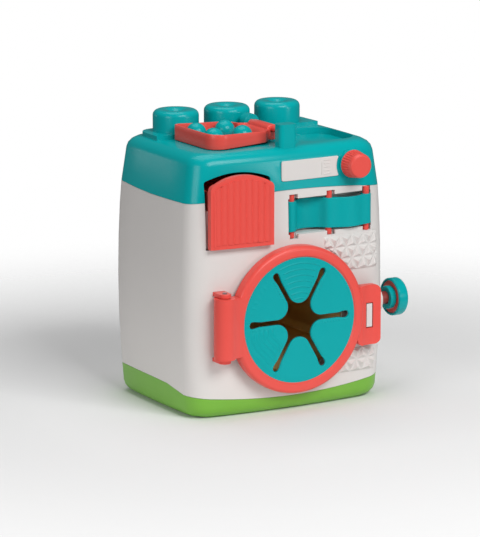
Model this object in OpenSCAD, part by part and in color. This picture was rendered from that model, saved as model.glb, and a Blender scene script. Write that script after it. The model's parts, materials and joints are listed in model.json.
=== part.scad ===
// Toy washing machine for toddlers: a bowed casing with a studded cap, a hinged porthole door,
// a hand-cranked drum, a sliding drawer, a click knob, a tilting tray of balls and a wavy band.
// Millimetres. The floor is Z = 0, the front faces -Y, and the origin is the middle of the base.

/* [Casing] */
// Width of the casing at its widest
body_w = 216; // [208:1:222]
// Depth of the casing at its deepest
body_d = 165; // [160:1:174]
// Height of the deck above the floor
deck_z = 246; // [244:0.5:250]
// Wall thickness of the moulded casing parts
wall = 2.6; // [2.2:0.1:3]
// Radius of the casing's upright corners
corner_r = 18; // [14:1:22]
// How far the front and back bow outward between the corners
front_bow = 7; // [4:0.5:8]
// How far the sides bow outward between the corners
side_bow = 2.5; // [1:0.5:5]
// How far the casing narrows from its waist to the cap seam
belly = 3; // [1:0.5:4]
// How far the cap's sides lean in between its seam and the deck
cap_lean = 6.5; // [4:0.5:8]
// Radius of the rounding between the cap's sides and the deck
deck_edge_r = 11; // [8:0.5:13]
// Radius of the rounding under the base
base_edge_r = 11; // [8:0.5:13]
// Height of the seam between base and casing at the sides
base_seam_z = 28; // [26:0.5:31]
// Height of the seam between casing and cap at the corners
cap_seam_z = 201; // [199:0.5:203]
// Gap left along a seam between two casing parts
seam_gap = 0.3; // [0.2:0.05:0.5]

/* [Studs] */
// Radius of a building stud
stud_r = 21.7; // [20:0.1:23]
// Distance between two studs
stud_pitch = 55; // [52:0.5:58]
// Height of a stud above the stud platform
stud_h = 20; // [17:0.5:22]
// Height of the stud platform above the deck
platform_h = 4; // [2:0.5:5]

/* [Door and drum] */
// Height of the porthole's centre
door_z = 88; // [86:0.5:90]
// Radius of the rubber disc that shows inside the door ring
disc_r = 59; // [57:0.5:60]
// Width of the red ring round the disc
ring_w = 10.5; // [9.5:0.5:12]
// Thickness of the red ring from back to front
ring_t = 11; // [10:0.5:12]
// Thickness of the rubber disc
membrane_t = 2; // [1.5:0.1:2.4]
// Distance from the disc's centre to the centre of a slit's round end
slit_reach = 50; // [47:0.5:51]
// Half width of a slit
slit_half = 2.3; // [2:0.1:3]
// Radius of the hole left between the tips of the petals
star_hole_r = 16; // [14:0.5:18]
// Distance from the porthole's centre to the hinge pin
hinge_reach = 77.5; // [77:0.5:80]
// Radius of the hinge knuckle
knuckle_r = 10; // [9:0.5:10.5]
// Length of the hinge knuckle
knuckle_h = 57; // [50:1:60]
// Radius of the hinge pin
hinge_pin_r = 2; // [1.5:0.1:2.5]
// Outer radius of the drum
drum_r = 56; // [55:0.5:56.5]
// Wall thickness of the drum
drum_wall = 2.2; // [1.8:0.1:2.6]
// Radius of the drum's axle
axle_r = 4; // [3:0.25:5]
// Number of teeth on the drum's crown gear
crown_teeth = 60; // [50:10:60]
// Number of teeth on the crank's pinion
pinion_teeth = 12; // [10:1:12]

/* [Crank] */
// Distance of the crank's axis in front of the casing's middle
crank_fore = 51; // [50:0.5:52]
// Radius of the crank shaft
crank_shaft_r = 6; // [5:0.25:6.5]
// Outer radius of the crank wheel
wheel_r = 18; // [16:0.5:21]
// Width of the crank wheel's rim
wheel_w = 11; // [9:0.5:13]
// Distance from the casing's side to the middle of the crank wheel
wheel_out = 22; // [20:0.5:26]

/* [Drawer] */
// Width of the drawer front
drawer_w = 64; // [60:1:65]
// Distance of the drawer's middle to the left of the casing's middle
drawer_left = 56.5; // [56:0.5:57.5]
// Height of the drawer front's lower edge
drawer_z = 160.5; // [160:0.5:163]
// Height of the drawer front in its middle
drawer_h = 67; // [64:0.5:68]
// Radius of the drawer front's arched top
drawer_arch_r = 56; // [50:1:62]
// How far the drawer front stands out of the casing
drawer_proud = 7.5; // [6:0.5:9]
// Length of the drawer box from front to back
drawer_l = 82; // [70:1:90]

/* [Controls] */
// Distance of the knob's axis to the right of the casing's middle
knob_x = 65.5; // [65:0.5:68]
// Height of the knob's axis
knob_z = 226; // [224.5:0.5:226.5]
// Radius of the knob at its foot
knob_r = 13.2; // [12.5:0.1:15]
// Length of the knob
knob_l = 15; // [13:0.5:18]
// Width of the window behind which the wavy band is strung
window_w = 92; // [88:1:94]
// Height of the window
window_h = 33.5; // [31:0.5:35]
// Height of the window's lower edge
window_z = 166; // [165:0.5:167]
// Distance from an end of the window to the outer rod
rod_inset = 5.5; // [5.5:0.5:7]
// Radius of a rod
rod_r = 3; // [2.5:0.1:3.4]
// Thickness of the wavy band
band_t = 1.6; // [1.2:0.1:2]
// How far the band swings before and behind its rods
band_swing = 8; // [4:0.5:9]

/* [Tray and basin] */
// Height of the tray's rim above its underside
tray_h = 12; // [10.5:0.5:13]
// Radius of a ball
ball_r = 9.5; // [8.5:0.25:10]
// Radius of the tray's trunnions
trunnion_r = 3; // [2.5:0.1:3.5]
// Depth of the basin in the deck
basin_depth = 6; // [5:0.5:7]

/* [Hidden] */
$fn = 64;

teal = "#03a4a8";
red = "#e9564d";
dark_red = "#a23a36";
white = "#e4e0de";
green = "#78b53d";
orange = "#e8742e";
steel = "#b9bcc0";
rubber_grey = "#4a4d50";

// Clearances: a turning fit, a fixed fit, a sliding fit and the gap round a loose moving part
run_gap = 0.05;
fix_gap = 0.05;
// The gap between the front wall and what is set behind it
behind_gap = 0.7;
slide_gap = 0.5;
loose_gap = 1;
// Overshoot that lets a cut pass cleanly through a face
cut = 1;

half_w = body_w / 2;
half_d = body_d / 2;
waist_z = (base_seam_z + cap_seam_z) / 2;
seam_half_h = (cap_seam_z - base_seam_z) / 2;
floor_t = wall;

// ---- The casing's skin: a rounded, bowed outline at each height ----
side_steps = 4;
front_steps = 14;
corner_steps = 5;

function mix(a, b, t) = a + (b - a) * t;
function ease(t) = let (c = min(1, max(0, t))) c * c * (3 - 2 * c);
function line_points(p, q, n) = [for (i = [0:n - 1]) mix(p, q, i / n)];
function arc_points(c, r, from, sweep, n) = [for (i = [0:n - 1]) c + r * [cos(from + sweep * i / n),
    sin(from + sweep * i / n)]];
// A rectangle of half sizes a and b with corners of radius r, counter-clockwise
function rounded_points(a, b, r, n_side, n_front, n_corner) = concat(
    line_points([a, r - b], [a, b - r], n_side), arc_points([a - r, b - r], r, 0, 90, n_corner),
    line_points([a - r, b], [r - a, b], n_front), arc_points([r - a, b - r], r, 90, 90, n_corner),
    line_points([-a, b - r], [-a, r - b], n_side), arc_points([r - a, r - b], r, 180, 90, n_corner),
    line_points([r - a, -b], [a - r, -b], n_front), arc_points([a - r, r - b], r, 270, 90, n_corner));
// The casing's outline, drawn in by t, with its four sides bowed outward
function outline(t) = let (a = half_w - t, b = half_d - t)
    [for (p = rounded_points(a, b, corner_r - t, side_steps, front_steps, corner_steps))
        [p.x * (1 - side_bow / a * pow(p.y / b, 2)), p.y * (1 - front_bow / b * pow(p.x / a, 2))]];
// Quarter-circle rounding at a distance d from a flat end
function edge_round(r, d) = d >= r ? 0 : r - sqrt(max(0, r * r - pow(r - max(0, d), 2)));
function rounds(z) = edge_round(deck_edge_r, deck_z - z) + edge_round(base_edge_r, z);
function taper(z) = z > cap_seam_z ? belly + cap_lean * (z - cap_seam_z) / (deck_z - cap_seam_z)
    : belly * pow((z - waist_z) / seam_half_h, 2);
// How far the sides lie inside their widest outline at height z; the front and back narrow less
front_share = 0.55;
function drawn_in(z) = taper(z) + rounds(z);
function drawn_in_front(z) = front_share * taper(z) + rounds(z);
function skin_point(p, z) = [p.x * (1 - drawn_in(z) / half_w), p.y * (1 - drawn_in_front(z) / half_d), z];
// Y of the casing's front skin at x and height z
function corner_start(z) = (half_w - corner_r) * (1 - side_bow / half_w) * (1 - drawn_in(z) / half_w);
function corner_drop(x, z) = edge_round(corner_r, corner_start(z) + corner_r - abs(x));
function front_y(x, z) = -(half_d - corner_drop(x, z) - front_bow * pow(x / half_w, 2))
    * (1 - drawn_in_front(z) / half_d);
// X of the casing's right skin at y and height z
function side_x(y, z) = (half_w - side_bow * pow(y / half_d, 2)) * (1 - drawn_in(z) / half_w);

// The two seams dip and rise across the front: share is 1 in front of the casing's middle
seam_blend = 40;
base_front_drop = 6;
base_middle_drop = 8;
cap_middle_rise = 7;
cap_back_rise = 3;
function front_part(p) = ease((-p.y - seam_blend / 2) / seam_blend);
function arch(p) = 1 - min(1, pow(p.x / half_w, 2));
function base_seam(p) = base_seam_z - front_part(p) * (base_front_drop + base_middle_drop * arch(p));
function cap_seam(p) = cap_seam_z + front_part(p) * cap_middle_rise * arch(p)
    + cap_back_rise * ease(p.y / half_d);

// A stack of rings with equal point counts, joined into one solid; a closed stack has no end faces
module ring_stack(rings, closed = false) {
    n = len(rings[0]);
    m = len(rings);
    bands = [for (j = [0:m - (closed ? 1 : 2)]) for (i = [0:n - 1])
        let (k = (j + 1) % m, i2 = (i + 1) % n)
        each [[j * n + i, k * n + i, k * n + i2], [j * n + i, k * n + i2, j * n + i2]]];
    ends = closed ? [] : [[for (i = [0:n - 1]) i], [for (i = [n - 1:-1:0]) (m - 1) * n + i]];
    polyhedron(points = [for (r = rings) each r], faces = concat(bands, ends));
}
function level_ring(t, z) = [for (p = outline(t)) skin_point(p, z)];
// Rings between two seams, drawn in by t: share v runs from the lower to the upper seam
function seam_ring(t, v, low, high) = [for (p = outline(t)) let (q = skin_point(p, mix(low(p), high(p), v))) q];

shell_levels = [0, 0.12, 0.3, 0.5, 0.7, 0.88, 1];
edge_angles = [0, 22.5, 45, 67.5, 90];

// A solid that fills the casing, drawn in by t, for trimming what is moulded inside it
module casing_core(t, z_low, z_high) {
    steps = 6;
    ring_stack([for (i = [0:steps]) level_ring(t, mix(z_low, z_high, i / steps))]);
}

// A rounded rectangle with exact corners
module rounded_rect(w, d, r) {
    square([w - 2 * r, d], center = true);
    square([w, d - 2 * r], center = true);
    for (sx = [-1, 1], sy = [-1, 1]) translate([sx * (w / 2 - r), sy * (d / 2 - r)]) circle(r);
}
module along_x(x, y, z, h, r) { translate([x, y, z]) rotate([0, 90, 0]) cylinder(h = h, r = r); }
module along_y(x, y, z, h, r) { translate([x, y, z]) rotate([-90, 0, 0]) cylinder(h = h, r = r); }
module block(low, high) { translate(low) cube(high - low); }
// A screw with its head's top at the origin and its shank along +Z
screw_r = 1.5;
screw_head_r = 3;
screw_head_h = 2.2;
module screw(length) {
    difference() {
        cylinder(h = screw_head_h, r = screw_head_r);
        for (a = [0, 90]) rotate(a) translate([-1.8, -0.4, -cut]) cube([3.6, 0.8, cut + 1]);
    }
    translate([0, 0, screw_head_h]) cylinder(h = length, r = screw_r);
}

// ---- Shared places ----
// Screw posts in the corners of the base and casing, and on the casing's sides under the cap
post_r = 4.5;
post_inset = 20;
post_x = half_w - post_inset;
post_y = half_d - post_inset - 1.5;
post_split_z = 20;
post_top_z = 46;
base_post_r = 6;
base_posts = [for (sx = [-1, 1], sy = [-1, 1]) [sx * post_x, sy * post_y]];
cap_post_r = 4.2;
cap_post_x = half_w - 10;
cap_post_y = 35;
cap_posts = [for (sx = [-1, 1], sy = [-1, 1]) [sx * cap_post_x, sy * cap_post_y]];
cap_tab_z = cap_seam_z - 4;
cap_tab_t = 4;
cap_screw_l = 14;
base_screw_l = 26;

// Rear cover: a panel in the casing's back
cover_w = 160;
cover_low = 40;
cover_high = 190;
cover_r = 14;
cover_gap = 0.3;
cover_screw_x = 70;
cover_screws = [for (sx = [-1, 1], z = [cover_low + 11, cover_high - 11]) [sx * cover_screw_x, z]];
cover_screw_l = 12;
lug_r = 4.5;
lug_l = 11;
function back_y(x, z) = -front_y(x, z);

// Door
door_gap = 1;
door_back_y = -(half_d + door_gap);
door_front_y = door_back_y - ring_t;
ring_r = disc_r + ring_w;
lip_t = 1.6;
membrane_y = door_front_y + lip_t;
membrane_back_y = membrane_y + membrane_t;
membrane_r = disc_r + 3;
clamp_t = 3;
clamp_inner_r = disc_r - 4.5;
membrane_slack = 0.3;
hinge_x = -hinge_reach;
hinge_y = door_back_y - 6;
knuckle_low = door_z - knuckle_h / 2;
knuckle_high = door_z + knuckle_h / 2;
lug_h = 3.6;
lug_gap = 0.4;
hinge_lug_r = 5.8;
tab_high_x = 89;
tab_corner = 6;
tab_h = 57;
tab_t = 8.5;
tab_dip = 2.6;
tab_hollow_r = 20;
tab_low_z = door_z - 33;
slot_low_x = 74;
slot_high_x = 82;
slot_low_z = door_z - 17;
slot_high_z = door_z + 7;

// Drum, with its crown gear and the crank's pinion
port_r = drum_r - 2;
drum_front_y = front_y(drum_r, door_z + drum_r) + wall + 0.7;
drum_back_y = 46;
collar_gap = 0.6;
collar_t = 2.4;
collar_back_y = drum_front_y + 8;
hub_r = 9;
hub_back_y = drum_back_y + 4;
washer_t = 1.6;
boss_front_y = hub_back_y + washer_t + 0.4;
bush_t = 2;
bush_l = 20;
axle_back_y = boss_front_y + bush_l;
crank_y = -crank_fore;
crank_z = door_z;
crown_mid_r = drum_r + 7.5;
tooth_pitch = 2 * PI * crown_mid_r / crown_teeth;
pinion_pitch_r = crown_mid_r * pinion_teeth / crown_teeth;
addendum = tooth_pitch * 0.24;
dedendum = tooth_pitch * 0.33;
tooth_half = tooth_pitch * 0.19;
tooth_slope = 0.36;
crown_pitch_y = crank_y + pinion_pitch_r;
crown_root_y = crown_pitch_y + dedendum;
crown_t = 4;
crown_face = 7.5;
pinion_face = 6;
pinion_hub_l = 6;
pinion_x = crown_mid_r - pinion_face / 2;
lifter_h = 7;
lifter_w = 7;

// Crank wheel
wheel_x = half_w + wheel_out;
crank_bush_t = 2.5;
crank_bush_r = crank_shaft_r + crank_bush_t;
bush_flange_r = 12;
bush_flange_t = 2.4;
bush_inner_x = 84;
bush_flange_x = side_x(crank_y + bush_flange_r, crank_z) + 0.2;
collar_r = 11;
collar_w = 6;
rim_t = 2.3;
rim_edge_r = 3;
disc_t = 8.5;
peg_r = 3.5;
peg_l = 7;
peg_off = 7.5;

// Drawer
drawer_x = -drawer_left;
drawer_gap = 1.2;
drawer_top_z = drawer_z + drawer_h;
drawer_corner_r = 6;
drawer_back_y = front_y(drawer_x, drawer_z) + drawer_l;
box_side = 3;
box_wall = 2;
box_low_z = drawer_z + 2;
box_top_z = drawer_top_z - 15;
guide_t = 2;
guide_low_z = box_low_z - slide_gap - guide_t;
guide_top_z = cap_seam_z - 6;
rib_count = 9;
rib_depth = 1.1;
rib_margin = 4;

// Knob
knob_seat_y = front_y(knob_x - knob_r, knob_z - knob_r) - 0.3;
knob_foot_y = knob_seat_y - 0.4;
knob_face_r = knob_r - 2.3;
knob_shaft_r = 4.8;
click_lobes = 12;
click_r = 10;
click_t = 3;
knob_boss_y = knob_seat_y + 14;
click_y = knob_boss_y + 0.5;

// Window, rods and band
window_x = 40.5;
window_depth = 20;
rod_pitch = window_w / 2 - rod_inset;
rod_behind = 5.2;
rod_y = front_y(window_x, window_z) + rod_behind;
rod_top_z = window_z + window_h + 4;
rod_low_z = window_z - 4;
rods_x = [for (i = [-1:1]) window_x + 0.5 + i * rod_pitch];
sleeve_t = 1.6;
notch_half = 4.6;
box_frame = 3;
band_low_z = window_z + 2;
band_high_z = window_z + window_h - 3;

// Deck furniture
stud_y = 42;
stud_edge_r = 5.5;
dimple_r = 12;
dimple_depth = 4;
platform_z = deck_z + platform_h;
platform_front_y = 20;
stud_top_z = platform_z + stud_h;
pivot_x = 5;
pivot_z = deck_z + 12;
tray_gap = 0.4;
tray_low_z = deck_z + tray_gap;
tray_wall = 2;
neck_r = 6;
neck_x = pivot_x - 4;
tray_front = -60;
neck_low_y = -33;
neck_high_y = 1;
ear_low_y = 4;
ear_high_y = 13;
ear_r = 8;
pivot_post_x = pivot_x - 4;
pivot_post_low_y = -71;
pivot_post_high_y = -58;
pivot_post_w = 18;
pivot_post_h = 21;
trunnion_grip = 6;
ball_xs = [-54.5, -24];
ball_ys = [4, -29];
ball_sunk = 2.8;
ball_z = tray_low_z + ball_r - ball_sunk;
ball_peg_r = 2.5;
ball_peg_h = 7;
ball_foot = 1.2;
basin_low = [28, -56];
basin_high = [88, 13];
basin_r = 20;

// ---- Casing parts ----
// The white casing: one wall all round, open above and below
module shell_wall(t_out, t_in) {
    low = function (p) base_seam(p) + seam_gap;
    high = function (p) cap_seam(p);
    ring_stack(concat([for (v = shell_levels) seam_ring(t_out, v, low, high)],
        [for (i = [len(shell_levels) - 1:-1:0]) seam_ring(t_in, shell_levels[i], low, high)]), closed = true);
}
// The rear cover's outline, grown by g, as a prism through the back wall
module cover_prism(g) {
    translate([0, half_d + cut, (cover_low + cover_high) / 2]) rotate([90, 0, 0])
        linear_extrude(height = front_bow + 4 * wall + 2 * cut)
            rounded_rect(cover_w + 2 * g, cover_high - cover_low + 2 * g, cover_r + g);
}
// Straight sides under an arched top of radius big, joined by corners of radius r
function arch_points(half, low, top, big, r) = let (c = top - big, q = half - r,
    z = c + sqrt(pow(big - r, 2) - q * q), a = atan2(z - c, q)) concat([[-half, low], [half, low]],
    arc_points([q, z], r, 0, a, 5), arc_points([0, c], big, a, 180 - 2 * a, 14),
    arc_points([-q, z], r, 180 - a, a, 5), [[-half, z]]);
// The drawer front's outline, grown by g
module drawer_outline(g) {
    translate([drawer_x, 0]) polygon(arch_points(drawer_w / 2 + g, drawer_z - g, drawer_top_z + g,
        drawer_arch_r + g, drawer_corner_r + g));
}
// The opening is a little wider, and its arch is flatter than the drawer front's
module drawer_opening() {
    translate([drawer_x, -half_d + 3 * wall + front_bow, 0]) rotate([90, 0, 0])
        linear_extrude(height = 3 * wall + front_bow + cut)
            polygon(arch_points(drawer_w / 2 + drawer_gap, drawer_z - drawer_gap, drawer_top_z + drawer_gap,
                drawer_arch_r * 1.5, drawer_corner_r / 2));
}
module body_shell() {
    color(white) difference() {
        union() {
            shell_wall(0, wall);
            intersection() {
                shell_bosses();
                casing_core(wall / 2, base_seam_z - base_front_drop - base_middle_drop, cap_seam_z + cap_back_rise);
            }
            // The catch that the door's slot drops over
            block([slot_low_x + loose_gap, hinge_y, slot_low_z + loose_gap],
                [slot_high_x - loose_gap, front_y(slot_high_x, door_z) + wall / 2, slot_high_z - loose_gap]);
        }
        cover_prism(cover_gap);
        drawer_opening();
        // Port into the drum, and the bore of the collar that the drum's mouth turns in
        along_y(0, -half_d - cut, door_z, 4 * wall + front_bow, port_r);
        along_y(0, drum_front_y - 0.5, door_z, collar_back_y - drum_front_y + cut, drum_r + collar_gap);
        // Window
        block([window_x - window_w / 2, -half_d - cut, window_z],
            [window_x + window_w / 2, -half_d + window_depth, window_z + window_h]);
        rod_notches(rod_y + rod_r + 0.3);
        // Scoop that lets the hinge knuckle turn, and the slots of its bracket
        translate([hinge_x, hinge_y, knuckle_low - loose_gap]) cylinder(h = knuckle_h + 2 * loose_gap,
            r = knuckle_r + loose_gap);
        for (z = [knuckle_low - lug_gap - lug_h, knuckle_high + lug_gap])
            block([hinge_x - hinge_lug_r - 0.2, -half_d - cut, z - 0.2],
                [hinge_x + hinge_lug_r + 0.2, -half_d + front_bow + 2 * wall, z + lug_h + 0.2]);
        along_x(half_w - 5 * wall - side_bow, crank_y, crank_z, 5 * wall + side_bow + cut, crank_bush_r + fix_gap);
        // Screw holes
        for (p = base_posts) translate([p.x, p.y, post_split_z - cut]) cylinder(h = 20 + cut, r = screw_r + fix_gap);
        for (p = cap_posts) translate([p.x, p.y, cap_tab_z - cut]) cylinder(h = cap_tab_t + 2 * cut,
            r = screw_r + fix_gap);
        for (s = cover_screws) along_y(s.x, back_y(s.x, s.y) - wall - lug_l - cut, s.y, lug_l + cut,
            screw_r + fix_gap);
    }
}
// Everything moulded inside the white casing, before it is trimmed to the casing's skin
module shell_bosses() {
    along_y(0, -half_d, door_z, collar_back_y + half_d, drum_r + collar_gap + collar_t);
    for (p = base_posts) translate([p.x, p.y, 0]) {
        translate([0, 0, post_split_z + seam_gap]) cylinder(h = post_top_z - post_split_z, r = post_r);
        rotate(atan2(p.y, p.x)) block([0, -1.5, base_seam_z + 2], [post_inset + 5, 1.5, post_top_z]);
    }
    for (p = cap_posts) translate([p.x, p.y, cap_tab_z]) cylinder(h = cap_tab_t, r = cap_post_r + 0.6);
    for (s = cover_screws) {
        y = back_y(s.x, s.y) - wall;
        along_y(s.x, y - lug_l, s.y, lug_l - 0.2, lug_r);
        side = sign(s.x);
        reach = half_w - abs(s.x);
        translate([s.x + side * reach / 2, y - lug_l + 2, s.y]) cube([reach, 4, 8], center = true);
    }
}
module rear_cover() {
    color(white) difference() {
        union() {
            intersection() {
                shell_wall(0, wall);
                cover_prism(0);
            }
            along_y(0, boss_front_y, door_z, half_d - wall / 2 - boss_front_y, axle_r + bush_t + 3);
            for (a = [0, 45, 90, 135]) translate([0, 0, door_z]) rotate([0, a, 0])
                block([-34, boss_front_y + 14, -1.2], [34, half_d - wall / 2 - front_bow * 0.12, 1.2]);
        }
        along_y(0, boss_front_y - cut, door_z, bush_l + 2 * cut, axle_r + bush_t + fix_gap);
        for (s = cover_screws) {
            y = back_y(s.x, s.y);
            along_y(s.x, y - wall - cut, s.y, 3 * wall, screw_r + 0.3);
            along_y(s.x, y - screw_head_h + 0.6, s.y, 3 * wall, screw_head_r + 0.4);
        }
    }
}
module rear_cover_screws() {
    color(steel) for (s = cover_screws)
        translate([s.x, back_y(s.x, s.y) + 0.6, s.y]) rotate([90, 0, 0]) screw(cover_screw_l);
}

// The teal cap: a deep lid with a rounded deck edge, the stud platform, the basin and the tray's two bearings
cap_side_levels = [0, 0.35, 0.7, 1];
module cap_skin() {
    low = function (p) cap_seam(p) + seam_gap;
    round_z = deck_z - deck_edge_r;
    high = function (p) round_z;
    inner_z = deck_z - wall;
    inner_round_z = inner_z - deck_edge_r + wall;
    inner_high = function (p) inner_round_z;
    ring_stack(concat(
        [for (i = [len(edge_angles) - 1:-1:1]) level_ring_inner(edge_angles[i], inner_round_z)],
        [for (i = [len(cap_side_levels) - 1:-1:0]) seam_ring(wall, cap_side_levels[i], low, inner_high)],
        [for (v = cap_side_levels) seam_ring(0, v, low, high)],
        [for (i = [1:len(edge_angles) - 1]) level_ring(0, round_z + deck_edge_r * sin(edge_angles[i]))]));
}
// The cap's inner rounding follows the outer one, lowered by the wall
function level_ring_inner(a, z0) = let (z = z0 + (deck_edge_r - wall) * sin(a))
    [for (p = outline(wall)) let (q = skin_point(p, min(z + wall * sin(a), deck_z))) [q.x, q.y, z]];

module basin_solid(g, low_z, high_z) {
    c = (basin_low + basin_high) / 2;
    d = basin_high - basin_low;
    translate([c.x, c.y, low_z]) linear_extrude(height = high_z - low_z)
        rounded_rect(d.x + 2 * g, d.y + 2 * g, basin_r + g);
}
// A stud: straight wall, rounded edge and a shallow dimple in its top
module stud(x) {
    top = stud_top_z;
    edge = [for (i = [0:6]) let (a = 90 * i / 6) [stud_r - stud_edge_r * (1 - cos(a)),
        top - stud_edge_r * (1 - sin(a))]];
    dimple = [for (i = [0:6]) let (s = 1 - i / 6) [dimple_r * s,
        top - dimple_depth * (1 + cos(180 * s)) / 2]];
    translate([x, stud_y, 0]) rotate_extrude($fn = 96)
        polygon(concat([[0, platform_z - wall], [stud_r, platform_z - wall]], edge, dimple));
}
module pivot_post() {
    r = 4;
    root = 2 * wall;
    translate([pivot_post_x, (pivot_post_low_y + pivot_post_high_y) / 2, deck_z - root])
        linear_extrude(height = pivot_post_h + root)
            rounded_rect(pivot_post_w, pivot_post_high_y - pivot_post_low_y, r);
}
module pivot_ear() {
    along_y(pivot_x, ear_low_y, pivot_z, ear_high_y - ear_low_y, ear_r);
    block([pivot_x - ear_r, ear_low_y, deck_z - wall], [pivot_x + ear_r, ear_high_y, pivot_z]);
}
module top_cap() {
    color(teal) difference() {
        union() {
            cap_skin();
            // Stud platform
            intersection() {
                block([-half_w, platform_front_y, deck_z - wall / 2], [half_w, half_d, platform_z]);
                linear_extrude(height = platform_z) polygon([for (q = level_ring(0, deck_z)) [q.x, q.y]]);
            }
            for (i = [-1:1]) stud(i * stud_pitch);
            basin_solid(wall, deck_z - basin_depth - wall, deck_z - wall / 2);
            pivot_post();
            pivot_ear();
            // Flat seat and inner boss of the knob
            intersection() {
                union() {
                    along_y(knob_x, knob_seat_y, knob_z, wall + 2, knob_r + 0.6);
                    along_y(knob_x, knob_seat_y, knob_z, knob_boss_y - knob_seat_y, knob_shaft_r + 3);
                }
                block([knob_x - 20, -half_d, 0], [knob_x + 20, 0, deck_z - basin_depth - wall / 2]);
            }
            intersection() {
                for (p = cap_posts) translate([p.x, p.y, cap_tab_z + cap_tab_t + seam_gap])
                    cylinder(h = deck_z - deck_edge_r - cap_tab_z - cap_tab_t, r = cap_post_r);
                casing_core(wall / 2, cap_tab_z, deck_z - 1);
            }
        }
        drawer_opening();
        basin_solid(0, deck_z - basin_depth, deck_z + cut);
        // The studs are hollow underneath
        for (i = [-1:1]) translate([i * stud_pitch, stud_y, deck_z - 2 * wall])
            cylinder(h = stud_top_z - dimple_depth - wall - deck_z + 2 * wall, r = stud_r - stud_edge_r);
        along_y(pivot_x, pivot_post_high_y - trunnion_grip - 0.5, pivot_z, trunnion_grip + cut, trunnion_r + run_gap);
        along_y(pivot_x, ear_low_y - cut, pivot_z, trunnion_grip + 0.5 + cut, trunnion_r + run_gap);
        along_y(knob_x, knob_seat_y - cut, knob_z, knob_boss_y - knob_seat_y + 2 * cut, knob_shaft_r + run_gap);
        plate_solid(fix_gap * 3, plate_sink);
        for (p = cap_posts) translate([p.x, p.y, cap_tab_z]) cylinder(h = cap_tab_t + cap_screw_l,
            r = screw_r + fix_gap);
    }
}
module cap_screws() {
    color(steel) for (p = cap_posts) translate([p.x, p.y, cap_tab_z - screw_head_h]) screw(cap_screw_l);
}

// The green base: a tray whose front edge dips in the middle
module base_tray() {
    low = function (p) base_edge_r;
    high = function (p) base_seam(p);
    inner_low = function (p) base_edge_r;
    color(green) difference() {
        union() {
            ring_stack(concat(
                [for (i = [len(edge_angles) - 1:-1:1]) level_ring(0, base_edge_r * (1 - sin(edge_angles[i])))],
                [for (v = [0, 0.5, 1]) seam_ring(0, v, low, high)],
                [for (v = [1, 0.5, 0]) seam_ring(wall, v, inner_low, high)],
                [for (a = [45, 90]) let (z = base_edge_r - (base_edge_r - floor_t) * sin(a))
                    [for (p = outline(wall)) let (q = skin_point(p, max(0.4, z - floor_t * sin(a)))) [q.x, q.y, z]]]));
            intersection() {
                for (p = base_posts) translate([p.x, p.y, floor_t / 2])
                    cylinder(h = post_split_z - floor_t / 2, r = base_post_r);
                casing_core(wall / 2, 1, post_split_z + 1);
            }
        }
        for (p = base_posts) translate([p.x, p.y, -cut]) {
            cylinder(h = post_split_z + 2 * cut, r = screw_r + 0.3);
            cylinder(h = cut + base_head_z + screw_head_h, r = screw_head_r + 0.4);
        }
        for (p = foot_places) translate([p.x, p.y, -cut]) cylinder(h = cut + pad_t, r = pad_r + fix_gap);
    }
}
base_head_z = 9;
pad_r = 10;
pad_t = 1.4;
foot_inset_x = 34;
foot_inset_y = 30;
foot_places = [for (sx = [-1, 1], sy = [-1, 1]) [sx * (half_w - foot_inset_x), sy * (half_d - foot_inset_y)]];
module foot_pads() {
    color(rubber_grey) for (p = foot_places) translate([p.x, p.y, 0]) cylinder(h = pad_t, r = pad_r);
}
module base_screws() {
    color(steel) for (p = base_posts) translate([p.x, p.y, base_head_z]) screw(base_screw_l - base_head_z);
}

// The plate beside the knob: follows the front's bow, with its right end hollowed round the knob
plate_low_x = -12;
plate_high_x = 50;
plate_below = 9.5;
plate_above = 9;
plate_corner_r = 2;
plate_low_z = knob_z - plate_below;
plate_high_z = knob_z + plate_above;
plate_sink = 0.8;
plate_hollow = 4.8;
plate_proud = 0.9;
module plate_solid(g, sink) {
    xs = [for (i = [0:8]) mix(plate_low_x - g - cut, plate_high_x + g + cut, i / 8)];
    front = [for (x = xs) [x, front_y(x, plate_low_z) - plate_proud]];
    back = [for (i = [8:-1:0]) [xs[i], front_y(xs[i], plate_low_z) + plate_sink]];
    intersection() {
        translate([0, 0, plate_low_z - 5]) linear_extrude(height = plate_high_z - plate_low_z + 10)
            polygon(concat(front, back));
        rotate([90, 0, 0]) linear_extrude(height = half_d + 5) difference() {
            translate([(plate_low_x + plate_high_x) / 2, (plate_low_z + plate_high_z) / 2])
                rounded_rect(plate_high_x - plate_low_x + 2 * g, plate_high_z - plate_low_z + 2 * g,
                    plate_corner_r + g);
            translate([knob_x, knob_z]) circle(knob_r + plate_hollow - g);
        }
    }
}
module control_plate() { color(white) plate_solid(0, plate_sink); }

// The white box behind the window, the three rods and the band strung over them
module window_box() {
    low_x = window_x - window_w / 2;
    high_x = window_x + window_w / 2;
    back = -half_d + window_depth;
    color(white) difference() {
        inner_block(low_x - box_frame, high_x + box_frame, rod_low_z - guide_t, rod_top_z + guide_t, back + guide_t,
            behind_gap);
        block([low_x, -half_d - cut, window_z], [high_x, back, window_z + window_h]);
        rod_notches(rod_y);
        for (x = rods_x) translate([x, rod_y, rod_low_z]) cylinder(h = rod_top_z - rod_low_z, r = rod_r + fix_gap);
    }
}
// The notches above and below the window that show the ends of the rods
module rod_notches(back) {
    for (x = rods_x) block([x - notch_half, -half_d - cut, rod_low_z], [x + notch_half, back, rod_top_z]);
}
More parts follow.
